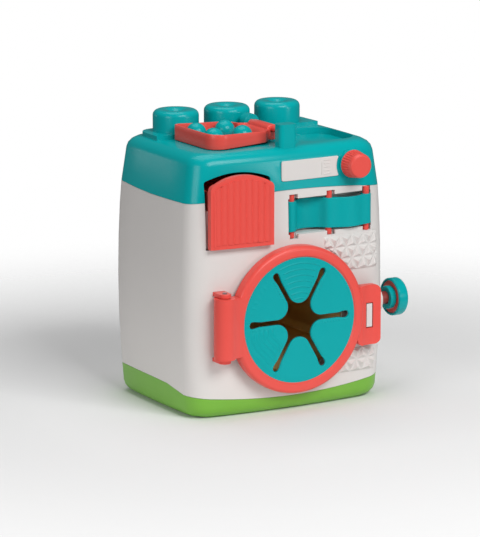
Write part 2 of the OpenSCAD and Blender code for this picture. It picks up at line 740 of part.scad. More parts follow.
// A block behind the front wall, hollow towards the front so that it follows the wall's inside
module inner_block(x0, x1, z0, z1, back, gap) {
    xs = [for (i = [0:8]) mix(x0, x1, i / 8)];
    translate([0, 0, z0]) linear_extrude(height = z1 - z0) polygon(concat(
        [for (x = xs) [x, front_y(x, z1) + wall + gap]], [[x1, back], [x0, back]]));
}
module band_rods() {
    color(red) for (x = rods_x) translate([x, rod_y, rod_low_z + fix_gap])
        cylinder(h = rod_top_z - rod_low_z - 2 * fix_gap, r = rod_r);
}
function band_y(x) = rod_y + band_swing * sin(180 * (x - rods_x[0]) / rod_pitch);
module wavy_band() {
    n = 40;
    xs = [for (i = [0:n]) mix(rods_x[0] - rod_r - sleeve_t, rods_x[2] + rod_r + sleeve_t, i / n)];
    color(teal) translate([0, 0, band_low_z]) linear_extrude(height = band_high_z - band_low_z) difference() {
        union() {
            polygon(concat([for (x = xs) [x, band_y(x) - band_t / 2]],
                [for (i = [n:-1:0]) [xs[i], band_y(xs[i]) + band_t / 2]]));
            for (x = rods_x) translate([x, rod_y]) circle(rod_r + sleeve_t);
        }
        for (x = rods_x) translate([x, rod_y]) circle(rod_r + fix_gap);
    }
}

// The channel that the drawer slides in, open above
module drawer_guide() {
    low_x = drawer_x - drawer_w / 2 + box_side - slide_gap;
    high_x = drawer_x + drawer_w / 2 - box_side + slide_gap;
    back = drawer_back_y + slide_gap + guide_t;
    color(white) difference() {
        inner_block(low_x - guide_t, high_x + guide_t, guide_low_z, guide_top_z, back, seam_gap);
        block([low_x, -half_d, guide_low_z + guide_t], [high_x, back - guide_t, guide_top_z + cut]);
    }
}

// The bracket that carries the door's hinge pin, pushed through the casing's front from inside
module hinge_bracket() {
    inner_y = front_y(hinge_x - hinge_lug_r, knuckle_low - lug_h) + wall + behind_gap;
    plate_low = knuckle_low - lug_gap - lug_h;
    plate_high = knuckle_high + lug_gap + lug_h;
    color(red) difference() {
        union() {
            block([hinge_x - hinge_lug_r, inner_y, plate_low], [hinge_x + hinge_lug_r, inner_y + 2.5, plate_high]);
            for (z = [plate_low, knuckle_high + lug_gap]) {
                translate([hinge_x, hinge_y, z]) cylinder(h = lug_h, r = hinge_lug_r);
                block([hinge_x - hinge_lug_r, hinge_y, z], [hinge_x + hinge_lug_r, inner_y + 2.5, z + lug_h]);
            }
        }
        translate([hinge_x, hinge_y, plate_low - cut])
            cylinder(h = plate_high - plate_low + 2 * cut, r = hinge_pin_r + fix_gap);
        translate([hinge_x, hinge_y, knuckle_low - lug_gap / 2])
            cylinder(h = knuckle_h + lug_gap, r = knuckle_r + loose_gap / 2);
    }
}
module hinge_pin() {
    low = knuckle_low - lug_gap - lug_h - 1;
    color(steel) translate([hinge_x, hinge_y, low]) cylinder(h = knuckle_h + 2 * (lug_gap + lug_h + 1), r = hinge_pin_r);
}
module drum_bush() {
    color(white) difference() {
        along_y(0, boss_front_y, door_z, bush_l, axle_r + bush_t);
        along_y(0, boss_front_y - cut, door_z, bush_l + 2 * cut, axle_r + run_gap);
    }
}
module crank_bush() {
    color(white) difference() {
        union() {
            along_x(bush_inner_x, crank_y, crank_z, bush_flange_x - bush_inner_x + cut, crank_bush_r);
            along_x(bush_flange_x, crank_y, crank_z, bush_flange_t, bush_flange_r);
        }
        along_x(bush_inner_x - cut, crank_y, crank_z, bush_flange_x - bush_inner_x + bush_flange_t + 2 * cut,
            crank_shaft_r + run_gap);
    }
}
// A sprung finger whose tip lies against the click wheel's lobes, held on the knob's boss
module click_finger() {
    t = 1.2;
    tip_z = knob_z - click_r - 0.3;
    color(steel) {
        difference() {
            along_y(knob_x, knob_boss_y - 5, knob_z, 2, knob_shaft_r + 5);
            along_y(knob_x, knob_boss_y - 5 - cut, knob_z, 2 + 2 * cut, knob_shaft_r + 3 + fix_gap);
        }
        block([knob_x - 2, knob_boss_y - 5, tip_z - t], [knob_x + 2, knob_boss_y - 3.5, knob_z - knob_shaft_r - 3.5]);
        block([knob_x - 2, knob_boss_y - 5, tip_z - t], [knob_x + 2, click_y + click_t, tip_z]);
    }
}

// ---- Door ----
module door_ring() {
    edge = 4;
    disc = concat([[0, door_front_y]], [for (i = [0:5]) let (a = 90 * i / 5)
        [ring_r - edge + edge * sin(a), door_front_y + edge - edge * cos(a)]], [[ring_r, door_back_y], [0, door_back_y]]);
    tab_low_x = membrane_r + 2;
    color(red) difference() {
        union() {
            translate([0, 0, door_z]) rotate([-90, 0, 0]) rotate_extrude($fn = 128) polygon(disc);
            // Hinge knuckle and the strap that carries it
            translate([hinge_x, hinge_y, knuckle_low]) cylinder(h = knuckle_h, r = knuckle_r);
            translate([0, 0, knuckle_low + 1]) linear_extrude(height = knuckle_h - 2) polygon([
                [hinge_x + 0.5, hinge_y - knuckle_r + 0.2], [1.5 - membrane_r, door_front_y + 0.2],
                [1.5 - membrane_r, door_back_y + 0.1], [hinge_x + 0.5, door_back_y + 0.1]]);
            // Latch tab, hollowed in front for a finger
            difference() {
                translate([(tab_low_x + tab_high_x) / 2, door_back_y, tab_low_z + tab_h / 2]) rotate([90, 0, 0])
                    linear_extrude(height = tab_t) rounded_rect(tab_high_x - tab_low_x, tab_h, tab_corner);
                translate([(ring_r + tab_high_x) / 2, door_back_y - tab_t + tab_dip - tab_hollow_r, tab_low_z - cut])
                    cylinder(h = tab_h + 2 * cut, r = tab_hollow_r);
            }
        }
        along_y(0, door_front_y - cut, door_z, ring_t + 2 * cut, disc_r);
        translate([0, door_front_y - cut, door_z]) rotate([-90, 0, 0])
            cylinder(h = cut + 1.5, r1 = disc_r + cut + 1.5, r2 = disc_r);
        along_y(0, membrane_y, door_z, ring_t + cut, membrane_r + membrane_slack);
        block([slot_low_x, door_front_y - cut, slot_low_z], [slot_high_x, door_back_y + cut, slot_high_z]);
        translate([hinge_x, hinge_y, knuckle_low - cut]) cylinder(h = knuckle_h + 2 * cut, r = hinge_pin_r + run_gap);
    }
}
// Half of one slit, from the tip of a petal out to the slit's round end, along an arm at angle 0
petal_tip_r = 7.5;
function petal_edge() = let (c = (star_hole_r + petal_tip_r) * [cos(30), sin(30)])
    [for (i = [0:5]) c + petal_tip_r * [cos(210 + 12 * i), sin(210 + 12 * i)]];
function arm_half() = concat(petal_edge(), [[slit_reach * 0.62, slit_half + 0.7], [slit_reach * 0.8, slit_half]],
    [for (i = [0:4]) [slit_reach, 0] + slit_half * [cos(90 - 22.5 * i), sin(90 - 22.5 * i)]]);
function turned(p, a) = [p.x * cos(a) - p.y * sin(a), p.x * sin(a) + p.y * cos(a)];
function star_points() = [for (k = [0:5]) let (h = arm_half(), n = len(h)) each concat(
    [for (i = [1:n - 1]) turned([h[i].x, -h[i].y], 60 * k)],
    [for (i = [n - 2:-1:0]) turned(h[i], 60 * k)])];
module door_membrane() {
    color(teal) difference() {
        along_y(0, membrane_y, door_z, membrane_t, membrane_r);
        translate([0, membrane_back_y + cut, door_z]) rotate([90, 0, 0])
            linear_extrude(height = membrane_t + 2 * cut) polygon(star_points());
    }
}
module membrane_clamp() {
    color(white) difference() {
        along_y(0, membrane_back_y + 0.1, door_z, clamp_t, membrane_r + membrane_slack - fix_gap);
        along_y(0, membrane_back_y - cut, door_z, clamp_t + 2 * cut, clamp_inner_r);
    }
}

// ---- Drawer ----
module drawer() {
    low_x = drawer_x - drawer_w / 2;
    box_low_x = low_x + box_side;
    box_high_x = low_x + drawer_w - box_side;
    color(red) difference() {
        union() {
            intersection() {
                drawer_front_slab(0);
                rotate([90, 0, 0]) linear_extrude(height = body_d) drawer_outline(0);
            }
            // Upright ribs, inside a plain border
            intersection() {
                drawer_front_slab(rib_depth);
                rotate([90, 0, 0]) linear_extrude(height = body_d) drawer_outline(-rib_margin);
            }
            block([box_low_x, front_y(box_high_x, drawer_z) - 3, box_low_z], [box_high_x, drawer_back_y, box_top_z]);
        }
        block([box_low_x + box_wall, front_y(box_high_x, drawer_z) + 1.6, box_low_z + box_wall],
            [box_high_x - box_wall, drawer_back_y - box_wall, box_top_z + 30]);
    }
}
// The bowed slab behind the drawer front's face; ribs of the given depth stand on it, round with sharp grooves
module drawer_front_slab(depth) {
    n = depth > 0 ? rib_count * 5 : 8;
    low_x = drawer_x - drawer_w / 2 + (depth > 0 ? rib_margin : 0);
    xs = [for (i = [0:n]) mix(low_x, 2 * drawer_x - low_x, i / n)];
    front = [for (i = [0:n]) [xs[i], front_y(xs[i], drawer_z) - drawer_proud + rib_depth
        - depth * pow(abs(sin(180 * rib_count * i / n)), 0.7)]];
    back = [for (i = [8:-1:0]) let (x = mix(xs[0], xs[n], i / 8)) [x, front_y(x, drawer_z) - 1]];
    translate([0, 0, drawer_z - cut]) linear_extrude(height = drawer_h + 2 * cut) polygon(concat(front, back));
}

// ---- Knob ----
module knob() {
    rib_n = 30;
    edge = 1.6;
    profile = [[0, 0], [knob_r - 1, 0], [knob_r - 1, 2], [knob_face_r + 0.4, knob_l - edge],
        [knob_face_r - edge + 0.4, knob_l], [0, knob_l]];
    color(red) translate([knob_x, knob_foot_y, knob_z]) rotate([90, 0, 0]) difference() {
        union() {
            rotate_extrude() polygon(profile);
            for (i = [0:rib_n - 1]) rotate(360 * i / rib_n)
                translate([knob_r - 3.5, -0.6, 0]) cube([3.5 - 0.02, 1.2, knob_l * 0.4]);
        }
        translate([0, 0, -cut]) cylinder(h = cut + knob_l - 4, r = knob_shaft_r + fix_gap);
    }
}
module click_wheel() {
    ring = [for (i = [0:click_lobes * 4 - 1]) let (a = 90 * i / click_lobes,
        r = click_r - 1.2 * abs(sin(45 * i))) r * [cos(a), sin(a)]];
    color(white) difference() {
        union() {
            translate([knob_x, click_y + click_t, knob_z]) rotate([90, 0, 0])
                linear_extrude(height = click_t) polygon(ring);
            along_y(knob_x, knob_foot_y - knob_l + 5, knob_z, click_y - knob_foot_y + knob_l - 5 + cut, knob_shaft_r);
        }
        along_y(knob_x, knob_foot_y - knob_l, knob_z, knob_l * 3, screw_r + fix_gap);
    }
}
module knob_screw() {
    color(steel) translate([knob_x, click_y + click_t + screw_head_h, knob_z]) rotate([90, 0, 0])
        screw(knob_boss_y - knob_seat_y + 8);
}

// ---- Drum ----
module drum() {
    color(orange) difference() {
        union() {
            difference() {
                along_y(0, drum_front_y, door_z, drum_back_y - drum_front_y, drum_r);
                along_y(0, drum_front_y - cut, door_z, drum_back_y - drum_wall - drum_front_y + cut, drum_r - drum_wall);
            }
            // Flange that the crown gear sits against
            difference() {
                along_y(0, crown_root_y + crown_t + 0.1, door_z, 2, drum_r + 4);
                along_y(0, crown_root_y, door_z, crown_t + 4, drum_r - drum_wall / 2);
            }
            along_y(0, drum_back_y - drum_wall - 8, door_z, hub_back_y - drum_back_y + drum_wall + 8, hub_r);
            for (a = [90, 210, 330]) translate([0, 0, door_z]) rotate([0, -a, 0])
                block([drum_r - drum_wall - lifter_h, drum_front_y + 10, -lifter_w / 2],
                    [drum_r - drum_wall / 2, drum_back_y - drum_wall / 2, lifter_w / 2]);
        }
        along_y(0, drum_back_y - drum_wall - 8 + 3, door_z, 30, axle_r + fix_gap);
    }
}
module drum_axle() {
    y = drum_back_y - drum_wall - 8 + 3.2;
    color(steel) along_y(0, y, door_z, axle_back_y - 1 - y, axle_r);
}
module drum_washer() {
    color(steel) difference() {
        along_y(0, hub_back_y + 0.2, door_z, washer_t, hub_r);
        along_y(0, hub_back_y - cut, door_z, washer_t + 2 * cut + 1, axle_r + run_gap);
    }
}
// A crown gear's teeth stand on its front face and point at the pinion
module drum_gear() {
    tooth = [[-tooth_half - tooth_slope * dedendum, dedendum + 0.2], [tooth_half + tooth_slope * dedendum, dedendum + 0.2],
        [tooth_half - tooth_slope * addendum, -addendum], [-tooth_half + tooth_slope * addendum, -addendum]];
    color(white) union() {
        difference() {
            along_y(0, crown_root_y, door_z, crown_t, crown_mid_r + crown_face / 2 + 1);
            along_y(0, crown_root_y - cut, door_z, crown_t + 2 * cut, drum_r + fix_gap);
        }
        for (i = [0:crown_teeth - 1]) translate([0, 0, door_z]) rotate([0, 360 * (i + 0.5) / crown_teeth, 0])
            translate([crown_mid_r - crown_face / 2, crown_pitch_y, 0]) rotate([90, 0, 90])
                linear_extrude(height = crown_face) polygon([for (p = tooth) [p.y, p.x]]);
    }
}

// ---- Crank ----
module crank_shaft() {
    color(dark_red) along_x(pinion_x - 1, crank_y, crank_z, wheel_x - pinion_x + 1, crank_shaft_r);
}
module crank_pinion() {
    root_r = pinion_pitch_r - dedendum;
    tip_r = pinion_pitch_r + addendum;
    tooth = [[root_r - 0.6, tooth_half + tooth_slope * dedendum], [root_r, tooth_half + tooth_slope * dedendum],
        [tip_r, tooth_half - tooth_slope * addendum - 0.1], [tip_r, -tooth_half + tooth_slope * addendum + 0.1],
        [root_r, -tooth_half - tooth_slope * dedendum], [root_r - 0.6, -tooth_half - tooth_slope * dedendum]];
    color(white) translate([pinion_x, crank_y, crank_z]) rotate([0, 90, 0]) difference() {
        union() {
            cylinder(h = pinion_face + pinion_hub_l, r = root_r);
            for (i = [0:pinion_teeth - 1]) rotate(90 + 360 * i / pinion_teeth) linear_extrude(height = pinion_face)
                polygon(tooth);
        }
        translate([0, 0, -cut]) cylinder(h = pinion_face + pinion_hub_l + 2 * cut, r = crank_shaft_r + fix_gap);
    }
}
module shaft_clip() {
    color(steel) difference() {
        along_x(bush_inner_x - 2.2, crank_y, crank_z, 2, crank_shaft_r + 3);
        along_x(bush_inner_x - 4, crank_y, crank_z, 6, crank_shaft_r + fix_gap);
    }
}
module crank_collar() {
    x = wheel_x - disc_t / 2 - 0.1 - collar_w;
    color(teal) difference() {
        along_x(x, crank_y, crank_z, collar_w, collar_r);
        along_x(x - cut, crank_y, crank_z, collar_w + 2 * cut, crank_shaft_r + fix_gap);
    }
}
module crank_disc() {
    r = wheel_r - rim_t - fix_gap;
    color(red) difference() {
        along_x(wheel_x - disc_t / 2, crank_y, crank_z, disc_t, r);
        along_x(wheel_x - disc_t / 2 - cut, crank_y, crank_z, disc_t / 2 + cut + 0.1, crank_shaft_r + fix_gap);
        along_x(wheel_x + disc_t / 2 - 3, crank_y + peg_off, crank_z + peg_off, 3 + cut, peg_r - 1.5 + fix_gap);
    }
}
module crank_rim() {
    e = rim_edge_r;
    rounding = [for (i = [0:5]) let (a = 90 * i / 5) [wheel_r - e * (1 - cos(a)), wheel_w / 2 - e * (1 - sin(a))]];
    color(teal) translate([wheel_x, crank_y, crank_z]) rotate([0, 90, 0]) rotate_extrude($fn = 96)
        polygon(concat([[wheel_r - rim_t, -wheel_w / 2], [wheel_r - 1, -wheel_w / 2], [wheel_r, 1 - wheel_w / 2]],
            rounding, [[wheel_r - rim_t, wheel_w / 2]]));
}
module crank_peg() {
    x = wheel_x + disc_t / 2;
    color(teal) {
        along_x(x + 0.1, crank_y + peg_off, crank_z + peg_off, peg_l, peg_r);
        along_x(x - 2.8, crank_y + peg_off, crank_z + peg_off, 3, peg_r - 1.5);
    }
}

// ---- Tray ----
// The tray seen from above, drawn in by g: a dish with a rounded front corner that narrows to its pivot
tray_back = 18.5;
tray_left = -72;
tray_round = 14;
tray_back_round = 7;
// The tray's corners along its right side, from its pivot's back end round to its front
tray_waist_x = -8;
tray_waist_y = 6;
tray_hip_x = -11;
tray_hip_y = 15;
tray_tail_x = -13;
tray_corner_x = -19;
tray_corner_y = -51;
function tray_points(g) = concat(
    [[neck_x - g, neck_low_y + 0.4 * g], [neck_x - g, neck_high_y - 0.4 * g], [tray_waist_x - 0.8 * g,
        tray_waist_y - 0.6 * g], [tray_hip_x - g, tray_hip_y - 0.6 * g], [tray_tail_x - 0.6 * g, tray_back - g]],
    arc_points([tray_left + tray_back_round, tray_back - tray_back_round], tray_back_round - g, 90, 90, 5),
    arc_points([tray_left + tray_round, tray_front + tray_round], tray_round - g, 180, 82, 6),
    [[tray_left + tray_round + 1, tray_front + 0.2 + g], [tray_corner_x - 0.3 * g, tray_corner_y + g]]);
module tilt_tray() {
    reach = ear_low_y + trunnion_grip - pivot_post_high_y + trunnion_grip;
    color(red) {
        difference() {
            union() {
                translate([0, 0, tray_low_z]) linear_extrude(height = tray_h) polygon(tray_points(0));
                along_y(pivot_x, neck_low_y, pivot_z, neck_high_y - neck_low_y, neck_r);
                along_y(pivot_x, pivot_post_high_y - trunnion_grip, pivot_z, reach, trunnion_r);
            }
            translate([0, 0, tray_low_z + tray_wall]) linear_extrude(height = tray_h + 8) polygon(tray_points(tray_wall));
        }
        for (x = ball_xs, y = ball_ys) translate([x, y, tray_low_z + tray_wall / 2])
            cylinder(h = tray_wall / 2 + ball_peg_h, r = ball_peg_r);
    }
}
module ball(x, y) {
    color(teal) difference() {
        translate([x, y, ball_z]) sphere(ball_r);
        block([x - ball_r, y - ball_r, 0], [x + ball_r, y + ball_r, tray_low_z + tray_wall + ball_foot]);
        translate([x, y, 0]) cylinder(h = tray_low_z + tray_wall + ball_peg_h + 0.3, r = ball_peg_r + run_gap);
    }
}
module ball_1() { ball(ball_xs[0], ball_ys[0]); }
module ball_2() { ball(ball_xs[1], ball_ys[0]); }
module ball_3() { ball(ball_xs[0], ball_ys[1]); }
module ball_4() { ball(ball_xs[1], ball_ys[1]); }

body_shell();
rear_cover();
rear_cover_screws();
top_cap();
cap_screws();
base_tray();
base_screws();
foot_pads();
control_plate();
window_box();
band_rods();
wavy_band();
drawer_guide();
hinge_bracket();
hinge_pin();
drum_bush();
crank_bush();
click_finger();
door_ring();
door_membrane();
membrane_clamp();
drawer();
knob();
click_wheel();
knob_screw();
drum();
drum_gear();
drum_axle();
drum_washer();
crank_shaft();
crank_pinion();
shaft_clip();
crank_collar();
crank_disc();
crank_rim();
crank_peg();
tilt_tray();
ball_1();
ball_2();
ball_3();
ball_4();
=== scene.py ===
# %% [markdown]
# A toy washing machine for toddlers, dressed for its picture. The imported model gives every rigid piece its
# size and place. This lesson rounds the edges of those pieces and gives them moulded-plastic finishes. It
# makes fuller forms of the door's rubber disc, the wavy band, the ribbed knob and the tilting tray, and adds
# the raised pyramids on the front and the ticks on the plate.

# %% Load the frame
import json
import math
import bmesh
import bpy
import numpy as np
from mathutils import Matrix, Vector


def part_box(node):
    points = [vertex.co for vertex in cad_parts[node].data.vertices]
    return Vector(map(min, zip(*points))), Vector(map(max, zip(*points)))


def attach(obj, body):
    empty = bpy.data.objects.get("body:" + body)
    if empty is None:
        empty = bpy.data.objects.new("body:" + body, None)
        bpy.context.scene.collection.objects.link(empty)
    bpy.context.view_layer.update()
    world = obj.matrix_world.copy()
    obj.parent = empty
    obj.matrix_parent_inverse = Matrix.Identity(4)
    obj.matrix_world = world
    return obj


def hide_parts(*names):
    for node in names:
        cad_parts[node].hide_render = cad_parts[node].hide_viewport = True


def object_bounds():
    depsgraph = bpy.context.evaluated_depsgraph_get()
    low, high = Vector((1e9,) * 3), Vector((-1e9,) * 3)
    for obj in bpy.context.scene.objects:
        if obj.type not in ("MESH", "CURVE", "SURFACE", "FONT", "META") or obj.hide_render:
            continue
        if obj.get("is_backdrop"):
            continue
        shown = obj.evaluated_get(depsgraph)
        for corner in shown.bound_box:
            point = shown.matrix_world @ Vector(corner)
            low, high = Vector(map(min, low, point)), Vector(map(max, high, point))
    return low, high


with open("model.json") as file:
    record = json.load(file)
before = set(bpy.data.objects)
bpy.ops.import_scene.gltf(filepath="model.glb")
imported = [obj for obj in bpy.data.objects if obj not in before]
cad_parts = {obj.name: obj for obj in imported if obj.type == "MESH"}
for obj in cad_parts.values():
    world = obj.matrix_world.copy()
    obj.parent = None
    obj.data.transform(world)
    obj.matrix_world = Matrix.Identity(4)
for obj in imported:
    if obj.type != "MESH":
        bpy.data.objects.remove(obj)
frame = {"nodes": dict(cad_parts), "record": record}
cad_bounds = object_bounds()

MM = 0.001
nodes = frame["nodes"]
body_of_node = {n: b for b, names in frame["record"]["behaviour"]["bodies"].items() for n in names}
slot_of_node = {s["node"]: s["material_slot"] for s in frame["record"]["subparts"]}

# %% [markdown]
# Shader maths reads best as plain expressions. The class below wraps one output socket, so that
# `0.4 + 0.1 * grain` adds its Math nodes by itself. Every other node comes from one method, `add`.

# %% A socket that can be calculated with
class Sock:
    """One output socket; operators add Math nodes and reflected forms work too."""

    def __init__(self, tree, socket):
        self.tree, self.socket = tree, socket

    def math(self, operation, first, second):
        node = self.tree.nodes.new("ShaderNodeMath")
        node.operation = operation
        plug(self.tree, node.inputs[0], first)
        plug(self.tree, node.inputs[1], second)
        return Sock(self.tree, node.outputs[0])

    def __add__(self, other):
        return self.math("ADD", self, other)

    def __radd__(self, other):
        return self.math("ADD", other, self)

    def __sub__(self, other):
        return self.math("SUBTRACT", self, other)

    def __rsub__(self, other):
        return self.math("SUBTRACT", other, self)

    def __mul__(self, other):
        return self.math("MULTIPLY", self, other)

    def __rmul__(self, other):
        return self.math("MULTIPLY", other, self)


def plug(tree, socket, value):
    """A link where value is a Sock, else the number or colour itself."""
    if isinstance(value, Sock):
        tree.links.new(value.socket, socket)
    else:
        socket.default_value = value


class Finish:
    """A material under construction: its tree, its Principled shader and a way to add nodes."""

    def __init__(self, name):
        self.material = bpy.data.materials.new(name)
        self.material.use_nodes = True
        self.tree = self.material.node_tree
        self.shader = self.tree.nodes["Principled BSDF"]
        coords = self.tree.nodes.new("ShaderNodeTexCoord")
        self.place = Sock(self.tree, coords.outputs["Object"])

    def add(self, kind, output=0, settings=None, **values):
        """A node of that kind; settings first, then socket values or links by socket name."""
        node = self.tree.nodes.new("ShaderNode" + kind)
        for key, value in (settings or {}).items():
            setattr(node, key, value)
        for key, value in values.items():
            plug(self.tree, node.inputs[key.replace("_", " ")], value)
        return Sock(self.tree, node.outputs[output])

    def mix(self, factor, a, b):
        """A colour between a and b."""
        node = self.tree.nodes.new("ShaderNodeMix")
        node.data_type = "RGBA"
        for index, value in ((0, factor), (6, a), (7, b)):
            plug(self.tree, node.inputs[index], value)
        return Sock(self.tree, node.outputs[2])

    def set(self, **values):
        """Values or links for the shader's own sockets, by socket name."""
        for key, value in values.items():
            plug(self.tree, self.shader.inputs[key.replace("_", " ")], value)


def paint(code):
    """A hex colour as linear numbers: each channel is decoded from its display curve."""
    channel = [int(code[i:i + 2], 16) / 255 for i in (0, 2, 4)]
    return tuple(c / 12.92 if c < 0.04045 else ((c + 0.055) / 1.055) ** 2.4 for c in channel) + (1.0,)


# %% [markdown]
# The toy is moulded in satin plastic: one even colour with the slightest clouding, a gloss that varies a
# little where the mould was polished, and a fine skin that breaks up sharp reflections. All the plastics and
# rubbers share this recipe, and differ in colour, gloss and grain. The steel parts have one of their own.

# %% Moulded plastic, soft rubber and steel
ROUGH_SWING = 0.10


def moulded(name, tone, second_tone, rough, grain=0.10, skin_scale=900.0, gloss=0.5):
    """Colour drifts between two close tones, roughness with it, and a fine noise lifts the surface."""
    f = Finish(name)
    cloud = f.add("TexNoise", Vector=f.place, Scale=16.0, Detail=3.0, Roughness=0.55)
    skin = f.add("TexNoise", Vector=f.place, Scale=skin_scale, Detail=2.0)
    wear = f.add("TexNoise", Vector=f.place, Scale=55.0, Detail=4.0, Roughness=0.6)
    f.set(Base_Color=f.mix(cloud * 0.5 + wear * 0.25, paint(tone), paint(second_tone)),
          Roughness=rough - ROUGH_SWING / 2 + ROUGH_SWING * wear)
    f.set(Normal=f.add("Bump", Height=skin, Strength=grain, Distance=0.0004), Specular_IOR_Level=gloss)
    return f.material


def brushed_steel(name, tone, second_tone):
    """Zinc-plated steel: grey metal with fine turning marks in its roughness."""
    f = Finish(name)
    marks = f.add("TexNoise", Vector=f.place, Scale=2400.0, Detail=3.0)
    stain = f.add("TexNoise", Vector=f.place, Scale=180.0, Detail=2.0)
    f.set(Base_Color=f.mix(stain, paint(tone), paint(second_tone)),
          Roughness=0.28 + 0.2 * marks, Metallic=1.0)
    return f.material


finish = {
    "white_plastic": moulded("white_plastic", "e2dedb", "dad6d3", 0.42),
    "teal_plastic": moulded("teal_plastic", "02abae", "02a4a7", 0.22, gloss=0.22),
    "teal_soft": moulded("teal_soft", "02a9ac", "02a2a5", 0.45, grain=0.18, skin_scale=1400.0, gloss=0.16),
    "red_plastic": moulded("red_plastic", "ef584f", "e75249", 0.3, gloss=0.35),
    "dark_red_plastic": moulded("dark_red_plastic", "92342d", "862f29", 0.4),
    "green_plastic": moulded("green_plastic", "7aba3c", "72b036", 0.36),
    "orange_plastic": moulded("orange_plastic", "ecc684", "e2ba76", 0.42),
    "grey_rubber": moulded("grey_rubber", "4a4d50", "404346", 0.7, grain=0.3, skin_scale=700.0),
    "steel": brushed_steel("steel", "b9bcc0", "8f9296"),
}
print("finishes", len(finish))

# %% [markdown]
# A construction model has knife edges, and real mouldings do not: a steel mould leaves every edge with a
# small radius that catches the light. A piece whose edges show is copied, its loose triangles are welded and
# its flat faces joined up again, and then a Bevel modifier rounds whatever is still sharp. The other pieces
# only take a finish.

# %% Smooth and sharp shading
def smooth_all(mesh):
    mesh.polygons.foreach_set("use_smooth", np.ones(len(mesh.polygons), bool))


def keep_sharp(bm, angle):
    """Shading breaks at edges that turn by more than the angle, in degrees, and runs on over the others."""
    for e in bm.edges:
        e.smooth = not (e.is_manifold and e.calc_face_angle(0.0) > math.radians(angle))


# %% Rounded copies of the construction pieces
WELD_GAP, FLAT_WITHIN = 0.00001, math.radians(0.4)
SHARP, BEVEL_SEGMENTS = 32, 2


def welded_copy(node, name):
    """A mesh equal to the node's, with shared corners and whole flat faces."""
    mesh = nodes[node].data.copy()
    mesh.name = name
    bm = bmesh.new()
    bm.from_mesh(mesh)
    bmesh.ops.remove_doubles(bm, verts=bm.verts, dist=WELD_GAP)
    bmesh.ops.dissolve_limit(bm, angle_limit=FLAT_WITHIN, verts=bm.verts, edges=bm.edges)
    bm.to_mesh(mesh)
    bm.free()
    return mesh


def shade(mesh, angle):
    """Smooth shading, except across edges sharper than the angle."""
    smooth_all(mesh)
    bm = bmesh.new()
    bm.from_mesh(mesh)
    keep_sharp(bm, angle)
    bm.to_mesh(mesh)
    bm.free()


def place(name, mesh, body, slot):
    """A finished piece at the origin that rides on its body."""
    obj = bpy.data.objects.new(name, mesh)
    bpy.context.scene.collection.objects.link(obj)
    mesh.materials.clear()
    mesh.materials.append(finish[slot])
    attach(obj, body)
    return obj


def rounded(node, width):
    """The node's welded copy with its sharp edges rounded to that width in millimetres."""
    mesh = welded_copy(node, node + "_moulded")
    shade(mesh, SHARP)
    obj = place(node + "_moulded", mesh, body_of_node[node], slot_of_node[node])
    bevel = obj.modifiers.new("edge", "BEVEL")
    bevel.width, bevel.segments = width * MM, BEVEL_SEGMENTS
    bevel.limit_method, bevel.angle_limit = "ANGLE", math.radians(SHARP)
    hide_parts(node)


edge_widths = {"body_shell": 0.4, "top_cap": 0.7, "base_tray": 0.4, "rear_cover": 0.3, "control_plate": 0.3,
               "window_box": 0.3, "hinge_bracket": 0.5, "door_ring": 0.6, "drawer": 0.45,
               "crank_disc": 0.5, "crank_collar": 0.7, "crank_rim": 0.4, "crank_peg": 0.6, "band_rods": 0.4}
for node, width in edge_widths.items():
    rounded(node, width)
for node, obj in nodes.items():
    if node not in edge_widths:
        obj.data.materials.clear()
        obj.data.materials.append(finish[slot_of_node[node]])
print("rounded", len(edge_widths), "plain", len(nodes) - len(edge_widths))

# %% [markdown]
# The pyramids, the band and the ticks follow the casing's skin, so the skin is needed as a formula. The
# casing is a rectangle with rounded corners whose sides bow outward, and it narrows from its waist towards
# both ends.

# %% The casing's front as a formula, in millimetres
BODY_W, BODY_D, CORNER_R = 216.0, 165.0, 18.0
# How far the front and the sides bow, how far a side draws in at the seams, and how much further at the deck
FRONT_BOW, SIDE_BOW, BELLY, CAP_LEAN = 7.0, 2.5, 3.0, 6.5
BASE_SEAM_Z, DOOR_Z, CAP_SEAM_Z, DECK_Z = 28.0, 88.0, 201.0, 246.0
# The front draws in by this share of what a side does
DEPTH_SHARE = 0.55


def front_y(x, z):
    """Y of the front skin: half the depth, less the corner's quarter circle and the bow, times the taper.

    The taper is 1 less the share of the half depth that is drawn in. What is drawn in grows with the square
    of the distance from the waist, and from the cap's seam up in a straight line.
    """
    waist, half = (BASE_SEAM_Z + CAP_SEAM_Z) / 2, (CAP_SEAM_Z - BASE_SEAM_Z) / 2
    low = BELLY * ((z - waist) / half) ** 2
    high = BELLY + CAP_LEAN * (z - CAP_SEAM_Z) / (DECK_Z - CAP_SEAM_Z)
    narrow = np.where(z > CAP_SEAM_Z, high, low)
    drawn = DEPTH_SHARE * narrow
    start = (BODY_W / 2 - CORNER_R) * (1 - SIDE_BOW / (BODY_W / 2)) * (1 - narrow / (BODY_W / 2))
    into = np.clip(np.abs(x) - start, 0, CORNER_R)
    corner = CORNER_R - np.sqrt(CORNER_R ** 2 - into ** 2)
    return -(BODY_D / 2 - corner - FRONT_BOW * (x / (BODY_W / 2)) ** 2) * (1 - drawn / (BODY_D / 2))


print("front at the door's middle", round(float(front_y(np.array(0.0), np.array(DOOR_Z))), 2), "mm")

# %% From grids of points to a mesh
DOUBLES_GAP = 0.000005
NO_SHARP_EDGE = 180


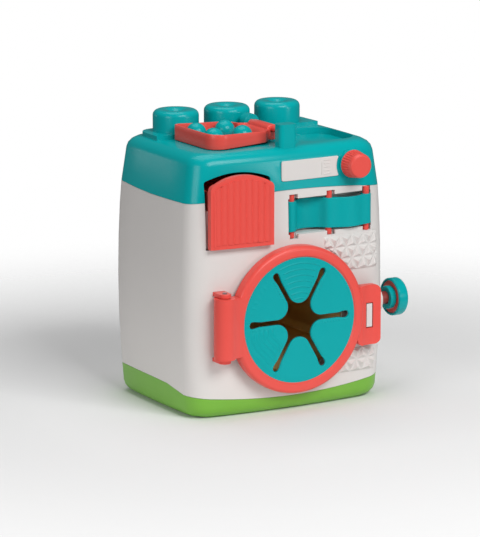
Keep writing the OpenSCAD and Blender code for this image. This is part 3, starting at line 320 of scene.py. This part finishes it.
def grid_mesh(name, grids, closed=False):
    """One mesh from arrays of points in millimetres, each with rows along v and columns along u.

    Every cell of a grid is a four-sided face. Where closed, the last column joins the first.
    """
    verts, faces, base = [], [], 0
    for grid in grids:
        rows, cols = grid.shape[:2]
        j, i = np.meshgrid(np.arange(rows - 1), np.arange(cols if closed else cols - 1), indexing="ij")
        beside = (i + 1) % cols
        quads = np.stack([j * cols + i, j * cols + beside, (j + 1) * cols + beside, (j + 1) * cols + i], -1)
        faces.append(quads.reshape(-1, 4) + base)
        verts.append(grid.reshape(-1, 3))
        base += rows * cols
    mesh = bpy.data.meshes.new(name)
    mesh.from_pydata((np.concatenate(verts) * MM).tolist(), [], np.concatenate(faces).tolist())
    smooth_all(mesh)
    return mesh


def face_outward(mesh, sharp):
    """Welds doubles, turns the faces outward and keeps edges sharper than the angle."""
    bm = bmesh.new()
    bm.from_mesh(mesh)
    bmesh.ops.remove_doubles(bm, verts=bm.verts, dist=DOUBLES_GAP)
    bmesh.ops.recalc_face_normals(bm, faces=bm.faces)
    keep_sharp(bm, sharp)
    bm.to_mesh(mesh)
    bm.free()
    return mesh


# %% [markdown]
# Beside the door the casing carries fields of small three-sided pyramids for little fingers. They tile the
# skin in equal triangles, with a thin raised rib along every border. A field is a height above the skin,
# worked out at every point of a fine grid, so that it follows the bowed front.

# %% The pyramid fields
# A triangle's side, the x of one corner, and the height over its middle
TRIANGLE, TRIANGLE_X, PEAK = 12.9, 38.0, 3.6
# A triangle's middle is a third of a row from its three sides, so this slope gives 1 there
FACET_SLOPE, RIB, RIB_WIDTH = 3.0, 0.35, 0.04
FIELD_STEP, FIELD_PROUD, FIELD_SUNK = 0.45, 0.15, 0.25
BORDER_FADE, RING_CLEAR, RING_FADE = 0.5, 71.0, 0.8


def pyramids(x, z, top):
    """Height over equal triangles: the least distance to one of three families of lines, times a slope."""
    row = TRIANGLE * math.sqrt(3) / 2
    a = (z - top) / row
    b = (x - TRIANGLE_X) / TRIANGLE
    nearest = np.min([np.abs(f - np.round(f)) for f in (a, b - a / 2, b + a / 2)], axis=0)
    rib = RIB * np.exp(-(nearest / RIB_WIDTH) ** 2)
    return PEAK * np.clip(nearest * FACET_SLOPE, 0, 1) + rib


def pyramid_field(name, x_range, z_range, borders, top):
    """A patch of skin lifted by the pyramids where inside is 1, sunk just under the skin elsewhere.

    Inside is 1 within the straight borders and outside the door's ring, and fades to 0 at both.
    """
    across, upward = (int((end - start) / FIELD_STEP) for start, end in (x_range, z_range))
    x, z = np.meshgrid(np.linspace(*x_range, across), np.linspace(*z_range, upward))
    left, right, low, high = borders
    edge = np.minimum(np.minimum(x - left, right - x), np.minimum(z - low, high - z))
    beyond_ring = np.hypot(x, z - DOOR_Z) - RING_CLEAR
    inside = np.clip(edge / BORDER_FADE, 0, 1) * np.clip(beyond_ring / RING_FADE, 0, 1)
    lift = (pyramids(x, z, top) + FIELD_PROUD) * inside - FIELD_SUNK * (1 - inside)
    sheet = np.stack([x, front_y(x, z) - lift, z], -1)
    mesh = face_outward(grid_mesh(name, [sheet]), NO_SHARP_EDGE)
    return place(name, mesh, "casing", "white_plastic")


upper = pyramid_field("pyramids_upper", x_range=(32.0, 94.0), z_range=(125.5, 161.0),
                      borders=(33.0, 93.0, 126.3, 160.2), top=160.0)
lower = pyramid_field("pyramids_lower", x_range=(49.0, 93.0), z_range=(28.2, 52.0),
                      borders=(50.0, 92.0, 28.6, 51.2), top=51.0)
print("pyramid faces", len(upper.data.polygons), len(lower.data.polygons))

# %% [markdown]
# The door's disc is soft rubber, slit into six petals. Each petal is a grid: one direction runs from its
# rounded tip out to the rim, the other from slit to slit. It needs the outline of a petal first, as the
# half angle that the petal fills at each radius.

# %% The outline of a petal
DISC_Y, DISC_T, DISC_RIM = -92.9, 2.0, 62.0
SLIT_HALF, SLIT_REACH, BULB_R, HOLE_R = 2.2, 49.9, 3.2, 16.0
# Where the slit's straight edge starts, and where and over what length it swells into its bulb
SLIT_FROM, SWELL_FROM, SWELL_RUN = 24, 41, 8
# This radius makes a circle that starts at the hole touch the slits on both sides
TIP_R = HOLE_R - 2 * SLIT_HALF
HALF_PETAL = math.radians(30)


def petal_border():
    """Polar border of half a petal: a tip circle that touches both slits, the slit's edge and its bulb."""
    turn = np.linspace(math.pi, math.radians(120), 30)
    tip_x, tip_w = HOLE_R + TIP_R + TIP_R * np.cos(turn), TIP_R * np.sin(turn)
    bulb = SLIT_REACH + BULB_R * np.sin(np.linspace(0.03, 1.57, 30))
    along = np.concatenate([np.linspace(SLIT_FROM, SLIT_REACH, 60), bulb])
    grow = np.clip((along - SWELL_FROM) / SWELL_RUN, 0, 1)
    half = SLIT_HALF + (BULB_R - SLIT_HALF) * grow ** 2 * (3 - 2 * grow)
    half = np.minimum(half, np.sqrt(np.maximum(BULB_R ** 2 - np.maximum(along - SLIT_REACH, 0) ** 2, 0)))
    r = np.concatenate([np.hypot(tip_x, tip_w), np.hypot(along, half)])
    angle = np.concatenate([np.arctan2(tip_w, tip_x), HALF_PETAL - np.arctan2(half, along)])
    return r, angle


BORDER_R, BORDER_ANGLE = petal_border()
print("petal border from", round(BORDER_R.min(), 1), "to", round(BORDER_R.max(), 1), "mm")

# %% [markdown]
# Small fingers find different lines on the petals: arcs, ripples, dots and ticks. Each is a ridge, which is
# a bell curve or a wave over the distance from the line it follows, and gates let it fade before the edge.

# %% Relief on the petals
# The middles of three petals and the room left bare beside a slit, in degrees
TOP_PETAL, TICK_PETAL, RIPPLE_PETAL, BORDER_ROOM = 90, 150, 210, 4.5
ARC_FROM, ARC_PITCH, ARC_WIDTH = 20.4, 5.5, 0.45
RIPPLE_FROM, RIPPLE_TO, RIPPLE_PITCH, RIPPLE_SWAY = 26, 56, 5.0, 1.4
DOTS_FROM, DOTS_TO, DOT_OFF, DOT_WIDTH, DOT_PITCH = 24, 53, 2.6, 0.6, 3.1
# Each dotted slit's angle in degrees, and the side of it where the dots are
DOTTED_SIDES = ((0, -1), (60, -1), (120, 1), (180, 1))
TICKS_R, TICKS_REACH, TICKS_AROUND = 51, 3.2, 60
ARC_LIFT, RIPPLE_LIFT, DOT_LIFT, TICK_LIFT = 0.6, 0.7, 0.6, 0.5


def slit_dots(x, z, axis, side):
    """A row of dots beside the slit at that angle: a ridge along its edge times a wave along its length."""
    c, s = math.cos(math.radians(axis)), math.sin(math.radians(axis))
    along, off = x * c + z * s, side * (z * c - x * s)
    gate = np.clip((along - DOTS_FROM) / 2, 0, 1) * np.clip((DOTS_TO - along) / 2, 0, 1)
    ridge = np.exp(-((off - SLIT_HALF - DOT_OFF) / DOT_WIDTH) ** 2)
    return gate * ridge * (0.5 + 0.5 * np.cos(along * 2 * np.pi / DOT_PITCH)) ** 2


def relief(x, z):
    """Seven arcs on the top petal, ripples on the lower left one, rows of dots, and short ticks."""
    r, a = np.hypot(x, z), np.degrees(np.arctan2(z, x)) % 360
    room = np.degrees(np.interp(r, BORDER_R, BORDER_ANGLE)) - BORDER_ROOM
    arcs = sum(np.exp(-((r - (ARC_FROM + ARC_PITCH * k)) / ARC_WIDTH) ** 2) for k in range(7))
    arcs = arcs * np.clip((room - np.abs(a - TOP_PETAL)) / 1.5, 0, 1)
    wave = r + RIPPLE_SWAY * np.sin(np.radians(a - RIPPLE_PETAL) * 8)
    ripple = 0.5 + 0.5 * np.cos(2 * np.pi * wave / RIPPLE_PITCH)
    ripple = ripple * np.clip((room - np.abs(a - RIPPLE_PETAL)) / 3, 0, 1)
    ripple = ripple * np.clip((r - RIPPLE_FROM) / 4, 0, 1) * np.clip((RIPPLE_TO - r) / 3, 0, 1)
    dots = sum(slit_dots(x, z, axis, side) for axis, side in DOTTED_SIDES)
    ring = np.exp(-((r - TICKS_R) / TICKS_REACH) ** 4)
    ticks = ring * np.clip(np.cos(np.radians(a) * TICKS_AROUND) - 0.55, 0, 1) * 1.6
    ticks = ticks * np.clip((room - 4 - np.abs(a - TICK_PETAL)) / 2, 0, 1)
    return ARC_LIFT * arcs + RIPPLE_LIFT * ripple + DOT_LIFT * dots + TICK_LIFT * ticks


probe = np.linspace(-DISC_RIM, DISC_RIM, 200)
print("relief up to", round(float(relief(*np.meshgrid(probe, probe)).max()), 2), "mm")

# %% [markdown]
# A petal's columns crowd towards the slits, where the edge is rounded over a quarter circle 0.8 mm high. Its
# back is flat, so five columns are enough there. Front and back together are one closed band.

# %% The slit disc
EDGE_R, TIP_STEP, FAR = 0.8, 0.8, 9.0
# Share of a quarter wave that spaces the columns, and how much that counts against even spacing
CROWDING, CROWDED_SHARE = 0.995, 0.55
COLUMNS, BACK_COLUMNS = 70, [0, 14, 34, 54, -1]


def petal(k):
    """Front, edge and back of one petal as one closed band across it, from its tip to the rim."""
    r = np.concatenate([HOLE_R + TIP_STEP * np.linspace(0.02, 1, 9) ** 2, np.linspace(17, 24, 28),
                        np.linspace(24.3, 48, 92), np.linspace(48.2, 53.2, 44),
                        np.linspace(53.6, DISC_RIM, 24)])
    half = np.interp(r, BORDER_R, BORDER_ANGLE, right=HALF_PETAL)
    even = np.linspace(-1, 1, COLUMNS)
    crowded = np.sin(even * math.pi / 2 * CROWDING) / math.sin(math.pi / 2 * CROWDING)
    columns = CROWDED_SHARE * crowded + (1 - CROWDED_SHARE) * even
    rr, uu = np.meshgrid(r, columns, indexing="ij")
    a = math.radians(30 + 60 * k) + uu * half[:, None]
    x, z = rr * np.cos(a), rr * np.sin(a)
    edge = np.minimum((1 - np.abs(uu)) * half[:, None] * rr, rr - HOLE_R)
    edge = np.where(rr > SLIT_REACH + BULB_R + 0.3, FAR, edge)
    near = np.clip(edge / EDGE_R, 0, 1)
    y = DISC_Y + EDGE_R * (1 - np.sqrt(1 - (1 - near) ** 2)) - relief(x, z) * np.clip(edge / 2, 0, 1)
    front = np.stack([x, y, z + DOOR_Z], -1)
    back = front[:, ::-1][:, BACK_COLUMNS].copy()
    back[..., 1] = DISC_Y + DISC_T
    return np.concatenate([front, back], axis=1)


disc_mesh = face_outward(grid_mesh("door_disc", [petal(k) for k in range(6)], closed=True), 60)
door_disc = place("door_disc", disc_mesh, "door", "teal_soft")
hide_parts("door_membrane")
print("disc faces", len(disc_mesh.polygons))

# %% [markdown]
# The band is a strip of soft rubber strung in a wave over three rods. Its cross-section is a closed loop
# that follows the wave and swells where it meets a rod, and the loop is carried straight up.

# %% The wavy band
# The window's middle, its lower border and its height
WINDOW_X, WINDOW_Z, WINDOW_H = 40.5, 166.0, 33.5
ROD_PITCH, ROD_BEHIND = 40.5, 5.2
ROD_Y = float(front_y(np.array(WINDOW_X), np.array(WINDOW_Z))) + ROD_BEHIND
RODS_X = [WINDOW_X + 0.5 + ROD_PITCH * k for k in (-1, 0, 1)]
BAND_LOW, BAND_HIGH = WINDOW_Z + 2, WINDOW_Z + WINDOW_H - 3
# Thickness, swing to either side of the rods, length past the outer rods' middles, radius of the soft edges
BAND_T, SWING, BAND_END, BAND_EDGE = 1.6, 8.0, 4.6, 0.7
# The swell at a rod is a bell curve; the ends are rounded off over the last stretch
SWELL, SWELL_WIDTH, END_FADE = 3.8, 5.6, 1.2


def band_line(x):
    """Middle of the band: a sine that passes through every rod."""
    return ROD_Y + SWING * np.sin(np.pi * (x - RODS_X[0]) / ROD_PITCH)


def wavy_strip():
    """The strip's outline seen from above, front line out and back line home, swept up with soft edges."""
    x = np.linspace(RODS_X[0] - BAND_END, RODS_X[2] + BAND_END, 150)
    y = band_line(x)
    slope = np.gradient(y, x)
    normal = np.stack([-slope, np.ones_like(x)], -1) / np.sqrt(1 + slope ** 2)[:, None]
    half = BAND_T / 2 + SWELL * sum(np.exp(-((x - rod) / SWELL_WIDTH) ** 2) for rod in RODS_X)
    half = half * np.clip(np.minimum(x - x[0], x[-1] - x) / END_FADE, 0.05, 1) ** 0.5
    line = np.stack([x, y], -1)
    loop = np.concatenate([line - normal * half[:, None], (line + normal * half[:, None])[::-1]])
    middle = np.concatenate([line, line[::-1]])
    height, turn = BAND_HIGH - BAND_LOW, np.linspace(0, BAND_EDGE, 5)
    t = np.concatenate([turn, np.linspace(1.2, height - 1.2, 10), height - turn[::-1]])
    near = np.minimum(t, t[-1] - t)
    keep = np.sqrt(np.clip(1 - (1 - np.clip(near / BAND_EDGE, 0, 1)) ** 2, 0, 1))
    rings = middle + (loop - middle) * np.maximum(keep, 0.02)[:, None, None]
    heights = np.broadcast_to((BAND_LOW + t)[:, None, None], rings.shape[:2] + (1,))
    return np.concatenate([rings, heights], -1)


band_mesh = face_outward(grid_mesh("band_strip", [wavy_strip()], closed=True), 60)
band = place("band_strip", band_mesh, "casing", "teal_soft")
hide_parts("wavy_band")
print("band faces", len(band_mesh.polygons))

# %% [markdown]
# The knob is a short cone with fine ribs for the fingers on its side and a smooth face. It is turned like a
# pot on a wheel, with the radius rippled where the ribs are.

# %% The ribbed knob
knob_low, knob_high = (Vector(v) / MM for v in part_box("knob"))
KNOB_X, KNOB_Z = (knob_low.x + knob_high.x) / 2, (knob_low.z + knob_high.z) / 2
KNOB_FOOT, KNOB_TIP = knob_high.y, knob_low.y
# The foot's radius, how much narrower the tip is, and the rounding of its edge
KNOB_R, KNOB_TAPER, KNOB_ROUND = 13.1, 2.1, 1.4
# Shares of the knob's length: where the edge starts and its length, where the ribs end and how they fade
ROUND_FROM, ROUND_RUN, RIBS_TO, RIBS_FADE, FOOT_FADE = 0.86, 0.14, 0.74, 0.10, 0.04
RIBS, RIB_DEPTH, AROUND = 32, 0.75, 384


def knob_grid():
    """Radius along the profile, less a ripple whose depth fades towards the face."""
    t = np.concatenate([np.linspace(0, ROUND_FROM, 22), ROUND_FROM + ROUND_RUN * np.linspace(0, 1, 9)[1:]])
    edge = np.clip((t - ROUND_FROM) / ROUND_RUN, 0, 1)
    radius = KNOB_R - KNOB_TAPER * t - KNOB_ROUND * (1 - np.sqrt(np.clip(1 - edge ** 2, 0, 1)))
    face = np.linspace(1, 0, 14)[1:]
    radius = np.concatenate([radius, radius[-1] * face])
    along = np.concatenate([t, np.ones(len(face))])
    a = np.linspace(0, 2 * np.pi, AROUND, endpoint=False)
    depth = RIB_DEPTH * np.clip((RIBS_TO - along) / RIBS_FADE, 0, 1) * np.clip(along / FOOT_FADE, 0, 1)
    groove = (0.5 - 0.5 * np.cos(RIBS * a)) ** 2
    rr = radius[:, None] - depth[:, None] * groove[None, :]
    y = KNOB_FOOT - (KNOB_FOOT - KNOB_TIP) * along
    x = KNOB_X + rr * np.cos(a)[None, :]
    z = KNOB_Z + rr * np.sin(a)[None, :]
    return np.stack([x, np.repeat(y[:, None], AROUND, 1), z], -1)


knob_mesh = face_outward(grid_mesh("knob_turned", [knob_grid()], closed=True), 60)
knob = place("knob_turned", knob_mesh, "knob_turner", "red_plastic")
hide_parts("knob")
print("knob faces", len(knob_mesh.polygons))

# %% [markdown]
# The tray is a thin-walled dish that narrows to the block its pivot runs through. Seen from above it is one
# outline of straight sides with an arc at every corner. The formula gives each point its inward normal too,
# because the dish is made by drawing the outline in.

# %% An outline with round corners
ARC_POINTS, SIDE_POINTS = 14, 9


def rounded_outline(corners):
    """Points and inward normals of a closed outline of corners (x, y, radius).

    Each corner gives an arc that touches both its sides, then come points along the side after it.
    """
    ends = [np.array(corner[:2], float) for corner in corners]
    arcs = []
    for k, here in enumerate(ends):
        radius, before, after = corners[k][2], ends[k - 1], ends[(k + 1) % len(ends)]
        into = (here - before) / np.linalg.norm(here - before)
        away = (after - here) / np.linalg.norm(after - here)
        left = np.array([-into[1], into[0]])
        turn = math.atan2(into[0] * away[1] - into[1] * away[0], into @ away)
        bend = math.copysign(1, turn)
        centre = here - into * radius * math.tan(abs(turn) / 2) + bend * left * radius
        a = np.linspace(0, turn, ARC_POINTS)
        normals = np.outer(np.cos(a), left) + np.outer(np.sin(a), -into)
        arcs.append((centre - bend * radius * normals, normals))
    t = np.linspace(0.1, 0.9, SIDE_POINTS)[:, None]
    points, inward = [], []
    for (arc, normals), (next_arc, _) in zip(arcs, arcs[1:] + arcs[:1]):
        points += [arc, arc[-1] * (1 - t) + next_arc[0] * t]
        inward += [normals, np.repeat(normals[-1:], SIDE_POINTS, 0)]
    return np.concatenate(points), np.concatenate(inward)


# %% [markdown]
# The dish is that outline drawn in step by step: under the floor, up outside, over the rim, down inside and
# across the floor. Its wall stands higher at the far end, its underside lifts off the deck towards the
# pivot, and its floor ramps up to the pivot's block, which is a bar with a section between box and circle.

# %% The tilting tray
TRAY_FOOT, TRAY_RIM, TRAY_WALL = 246.42, 258.4, 2.0
# X of the dish's two ends, where its floor starts to ramp up, and where its rim starts to rise the other way
TRAY_FAR_X, TRAY_NEAR_X, RAMP_FROM_X, RIM_FROM_X = -72, 1, -16, -12
FOOT_LIFT, RIM_LIFT, RAMP_RISE, RAMP_RUN = 1.5, 2.4, 8.0, 14
# Each corner's x and y and the radius of its arc
TRAY_CORNERS = ((TRAY_FAR_X, -60, 14), (-10, -48.5, 2), (TRAY_NEAR_X, -36, 2), (TRAY_NEAR_X, 1, 1.5),
                (-8, 6, 1.5), (-12.5, 18.5, 3), (TRAY_FAR_X, 18.5, 7))
TRAY_MIDDLE = np.array([-40.0, -19.0])


def tray_foot(p):
    return TRAY_FOOT + FOOT_LIFT * np.clip((p[:, 0] - TRAY_FAR_X) / (TRAY_NEAR_X - TRAY_FAR_X), 0, 1)


def tray_rim(p):
    return TRAY_RIM + RIM_LIFT * np.clip((RIM_FROM_X - p[:, 0]) / (RIM_FROM_X - TRAY_FAR_X), 0, 1)


def tray_floor(p):
    """The foot plus the wall's thickness and a ramp with soft ends, kept under the rim."""
    up = np.clip((p[:, 0] - RAMP_FROM_X) / RAMP_RUN, 0, 1)
    return np.minimum(tray_foot(p) + TRAY_WALL + RAMP_RISE * up ** 2 * (3 - 2 * up), tray_rim(p) - 0.9)


def tray_dish():
    """Loops of the outline, drawn in by g, at heights measured from the foot, the rim or the ramped floor.

    Both edges of the rim are rounded at 0.6 mm. Shrinking loops towards the middle close the underside and
    the floor.
    """
    line, inward = rounded_outline(TRAY_CORNERS)

    def loop(g, height, shrink=1.0):
        p = TRAY_MIDDLE + (line + inward * g - TRAY_MIDDLE) * shrink
        return np.column_stack([p, height(p)])

    def above_foot(lift, share=0.0):
        return lambda p: tray_foot(p) + lift + (tray_rim(p) - tray_foot(p) - 1.4) * share

    def under_rim(drop):
        return lambda p: tray_rim(p) - drop

    def above_floor(lift):
        return lambda p: np.minimum(tray_floor(p) + lift, tray_rim(p) - 0.6)

    rows = [loop(0.8, tray_foot, shrink) for shrink in (0.001, 0.5, 0.9, 1.0)]
    rows += [loop(0.25, above_foot(0.25)), loop(0, above_foot(0.8))]
    rows += [loop(0, above_foot(0.8, share)) for share in (0.33, 0.67, 1.0)]
    rows += [loop(0.18, under_rim(0.18)), loop(0.6, tray_rim), loop(1.4, tray_rim)]
    rows += [loop(1.82, under_rim(0.18)), loop(TRAY_WALL, under_rim(0.6))]
    rows += [loop(TRAY_WALL, above_floor(1.5)), loop(2.4, above_floor(0.5))]
    rows += [loop(3.4, tray_floor, shrink) for shrink in [1.0, *np.linspace(0.97, 0.05, 24), 0.001]]
    return np.stack(rows)


def bar_along_y(x, z, half_w, half_h, y_from, y_to, edge, power):
    """A bar along Y with a superellipse section, drawn in to soft ends."""
    a = np.linspace(0, 2 * np.pi, 64, endpoint=False)
    cx = np.sign(np.cos(a)) * np.abs(np.cos(a)) ** (2 / power)
    cz = np.sign(np.sin(a)) * np.abs(np.sin(a)) ** (2 / power)
    q = np.linspace(0, np.pi / 2, 6)
    ends = np.concatenate([[0.001, 0.5], 1 - edge / half_w * (1 - np.sin(q))])
    ys = np.concatenate([[0, 0], edge * (1 - np.cos(q))])
    shrink = np.concatenate([ends, ends[::-1]])[:, None]
    y = np.concatenate([y_from + ys, (y_to - ys)[::-1]])
    y = np.repeat(y[:, None], len(a), 1)
    return np.stack([x + half_w * shrink * cx, y, z + half_h * shrink * cz], -1)


pivot_block = bar_along_y(x=4.6, z=254.4, half_w=6.4, half_h=7.0, y_from=-36, y_to=1, edge=1.2, power=3.2)
trunnions = bar_along_y(x=5, z=258, half_w=3, half_h=3, y_from=-64, y_to=10, edge=0.5, power=2.0)
tray_mesh = face_outward(grid_mesh("tray_moulded", [tray_dish(), pivot_block, trunnions], closed=True), 50)
tray = place("tray_moulded", tray_mesh, "tray", "red_plastic")
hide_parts("tilt_tray")
print("tray faces", len(tray_mesh.polygons))

# %% [markdown]
# The plate beside the knob carries a short scale in relief: one upright line and five ticks. Each stroke is
# a tiny pillow, a heightfield that swells in its middle.

# %% Plain ticks on the plate
# The plate stands proud of the skin at this height, and a stroke stands proud of the plate
PLATE_Z, PLATE_PROUD, STROKE_LIFT = 216.5, 0.9, 0.6
STROKE_WIDTH, PILLOW_EDGE, BORDER_SUNK = 0.9, 0.35, 0.1


def stroke(x0, x1, z0, z1):
    """A low pillow over a rectangle of the plate, highest in its middle and falling to its border."""
    u, v = np.meshgrid(np.linspace(0, 1, 14), np.linspace(0, 1, 8))
    x, z = x0 + (x1 - x0) * u, z0 + (z1 - z0) * v
    border = np.minimum(np.minimum(u, 1 - u) * (x1 - x0), np.minimum(v, 1 - v) * (z1 - z0))
    swell = np.clip(border / PILLOW_EDGE, 0, 1)
    plate_y = front_y(x, np.full_like(x, PLATE_Z)) - PLATE_PROUD
    return np.stack([x, plate_y - STROKE_LIFT * np.sqrt(swell) + BORDER_SUNK * (swell == 0), z], -1)


strokes = [stroke(30.4, 31.3, 218.4, 233.2)]
strokes += [stroke(33.0, 40.5, z, z + STROKE_WIDTH) for z in (219.2, 222.4, 225.6, 228.8, 232.0)]
ticks_mesh = face_outward(grid_mesh("plate_ticks", strokes), NO_SHARP_EDGE)
place("plate_ticks", ticks_mesh, "casing", "white_plastic")
print("ticks", len(strokes))

# %% [markdown]
# A plain pale floor lies just under the toy. It turns see-through away from the toy, where the white
# surround takes over, so that no horizon shows.

# %% The floor and the white surround
FLOOR_HALF, FLOOR_Z = 900, -0.05


def pale_floor_finish():
    """Near white, with an Alpha that falls smoothly from 1 to 0 between two distances from the toy."""
    f = Finish("pale_floor")
    speck = f.add("TexNoise", Vector=f.place, Scale=3.0, Detail=2.0)
    reach = f.add("VectorMath", 1, {"operation": "LENGTH"}, Vector=f.place)
    fade = f.add("MapRange", 0, {"interpolation_type": "SMOOTHSTEP"},
                 Value=reach, From_Min=0.22, From_Max=0.75)
    f.set(Base_Color=f.mix(speck, (0.9, 0.9, 0.9, 1), (0.88, 0.88, 0.88, 1)), Roughness=0.9, Alpha=1.0 - fade)
    return f.material


u, v = np.meshgrid(*[np.linspace(-FLOOR_HALF, FLOOR_HALF, 9)] * 2)
floor_mesh = grid_mesh("floor", [np.stack([u, v, np.full_like(u, FLOOR_Z)], -1)])
floor_mesh.materials.append(pale_floor_finish())
floor = bpy.data.objects.new("floor", floor_mesh)
bpy.context.scene.collection.objects.link(floor)
floor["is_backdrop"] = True

world = bpy.data.worlds.new("studio")
bpy.context.scene.world = world
world.use_nodes = True
background = world.node_tree.nodes["Background"]
background.inputs["Color"].default_value = (1, 1, 1, 1)
path = world.node_tree.nodes.new("ShaderNodeLightPath")
seen = Sock(world.node_tree, path.outputs["Is Camera Ray"])
plug(world.node_tree, background.inputs["Strength"], 0.1 + 0.9 * seen)
print("floor", 2 * FLOOR_HALF * MM, "m wide")

# %% [markdown]
# Soft studio light makes plastic look moulded: one large panel high in front, which also draws the long
# soft highlights on the cap, and weaker ones above and at the sides.

# %% Light
TOY_MIDDLE = (0, 0, 0.14)


def panel(name, place_at, aim, size, power):
    """A rectangular lamp of that size in metres, turned to face the aim point."""
    lamp = bpy.data.lights.new(name, "AREA")
    lamp.shape, lamp.energy = "RECTANGLE", power
    lamp.size, lamp.size_y = size
    obj = bpy.data.objects.new(name, lamp)
    bpy.context.scene.collection.objects.link(obj)
    obj.location = place_at
    obj.rotation_euler = (Vector(aim) - Vector(place_at)).to_track_quat("-Z", "Y").to_euler()


panel("key", (0.2, -1.7, 1.5), TOY_MIDDLE, size=(1.3, 0.8), power=30)
panel("side", (-2.0, -0.9, 0.8), TOY_MIDDLE, size=(1.1, 1.1), power=14)
panel("overhead", (0.0, 0.3, 1.9), TOY_MIDDLE, size=(1.4, 1.4), power=13)
panel("right_low", (1.0, -1.75, 0.42), (0, 0, 0.2), size=(0.5, 0.4), power=4.5)
panel("left_low", (-1.1, 1.75, 0.42), (0, 0, 0.2), size=(0.6, 0.34), power=0.8)
print("lamps", len(bpy.data.lights))

# %% [markdown]
# The camera stands to the left of the front and a little above it, far off with a long lens, as in a
# product picture. Its aim is the toy's middle, moved a little to set the toy's place in the frame.

# %% Camera
LENS, SENSOR_WIDTH, CLIP_END = 228.0, 36.0, 50
azimuth, elevation, distance = math.radians(30), math.radians(12), 3.2
AIM_Z, AIM_LEFT, AIM_DOWN = 0.141, 0.0085, 0.0212

cam = bpy.data.cameras.new("camera")
cam.lens, cam.sensor_width, cam.sensor_fit = LENS, SENSOR_WIDTH, "AUTO"
cam.clip_end = CLIP_END
camera = bpy.data.objects.new("camera", cam)
bpy.context.scene.collection.objects.link(camera)
forward = Vector((math.sin(azimuth) * math.cos(elevation), math.cos(azimuth) * math.cos(elevation),
                  -math.sin(elevation)))
right = Vector((math.cos(azimuth), -math.sin(azimuth), 0))
up = right.cross(forward)
target = Vector((0, 0, AIM_Z)) - right * AIM_LEFT - up * AIM_DOWN
camera.location = target - forward * distance
camera.rotation_euler = forward.to_track_quat("-Z", "Y").to_euler()
bpy.context.scene.camera = camera
bpy.context.scene.view_settings.view_transform = "Standard"
print("camera at", [round(v, 3) for v in camera.location])

# %% Sizes and finish
seen_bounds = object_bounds()
for title, bounds in (("cad", cad_bounds), ("scene", seen_bounds)):
    print(title, [[round(c, 4) for c in v] for v in bounds])
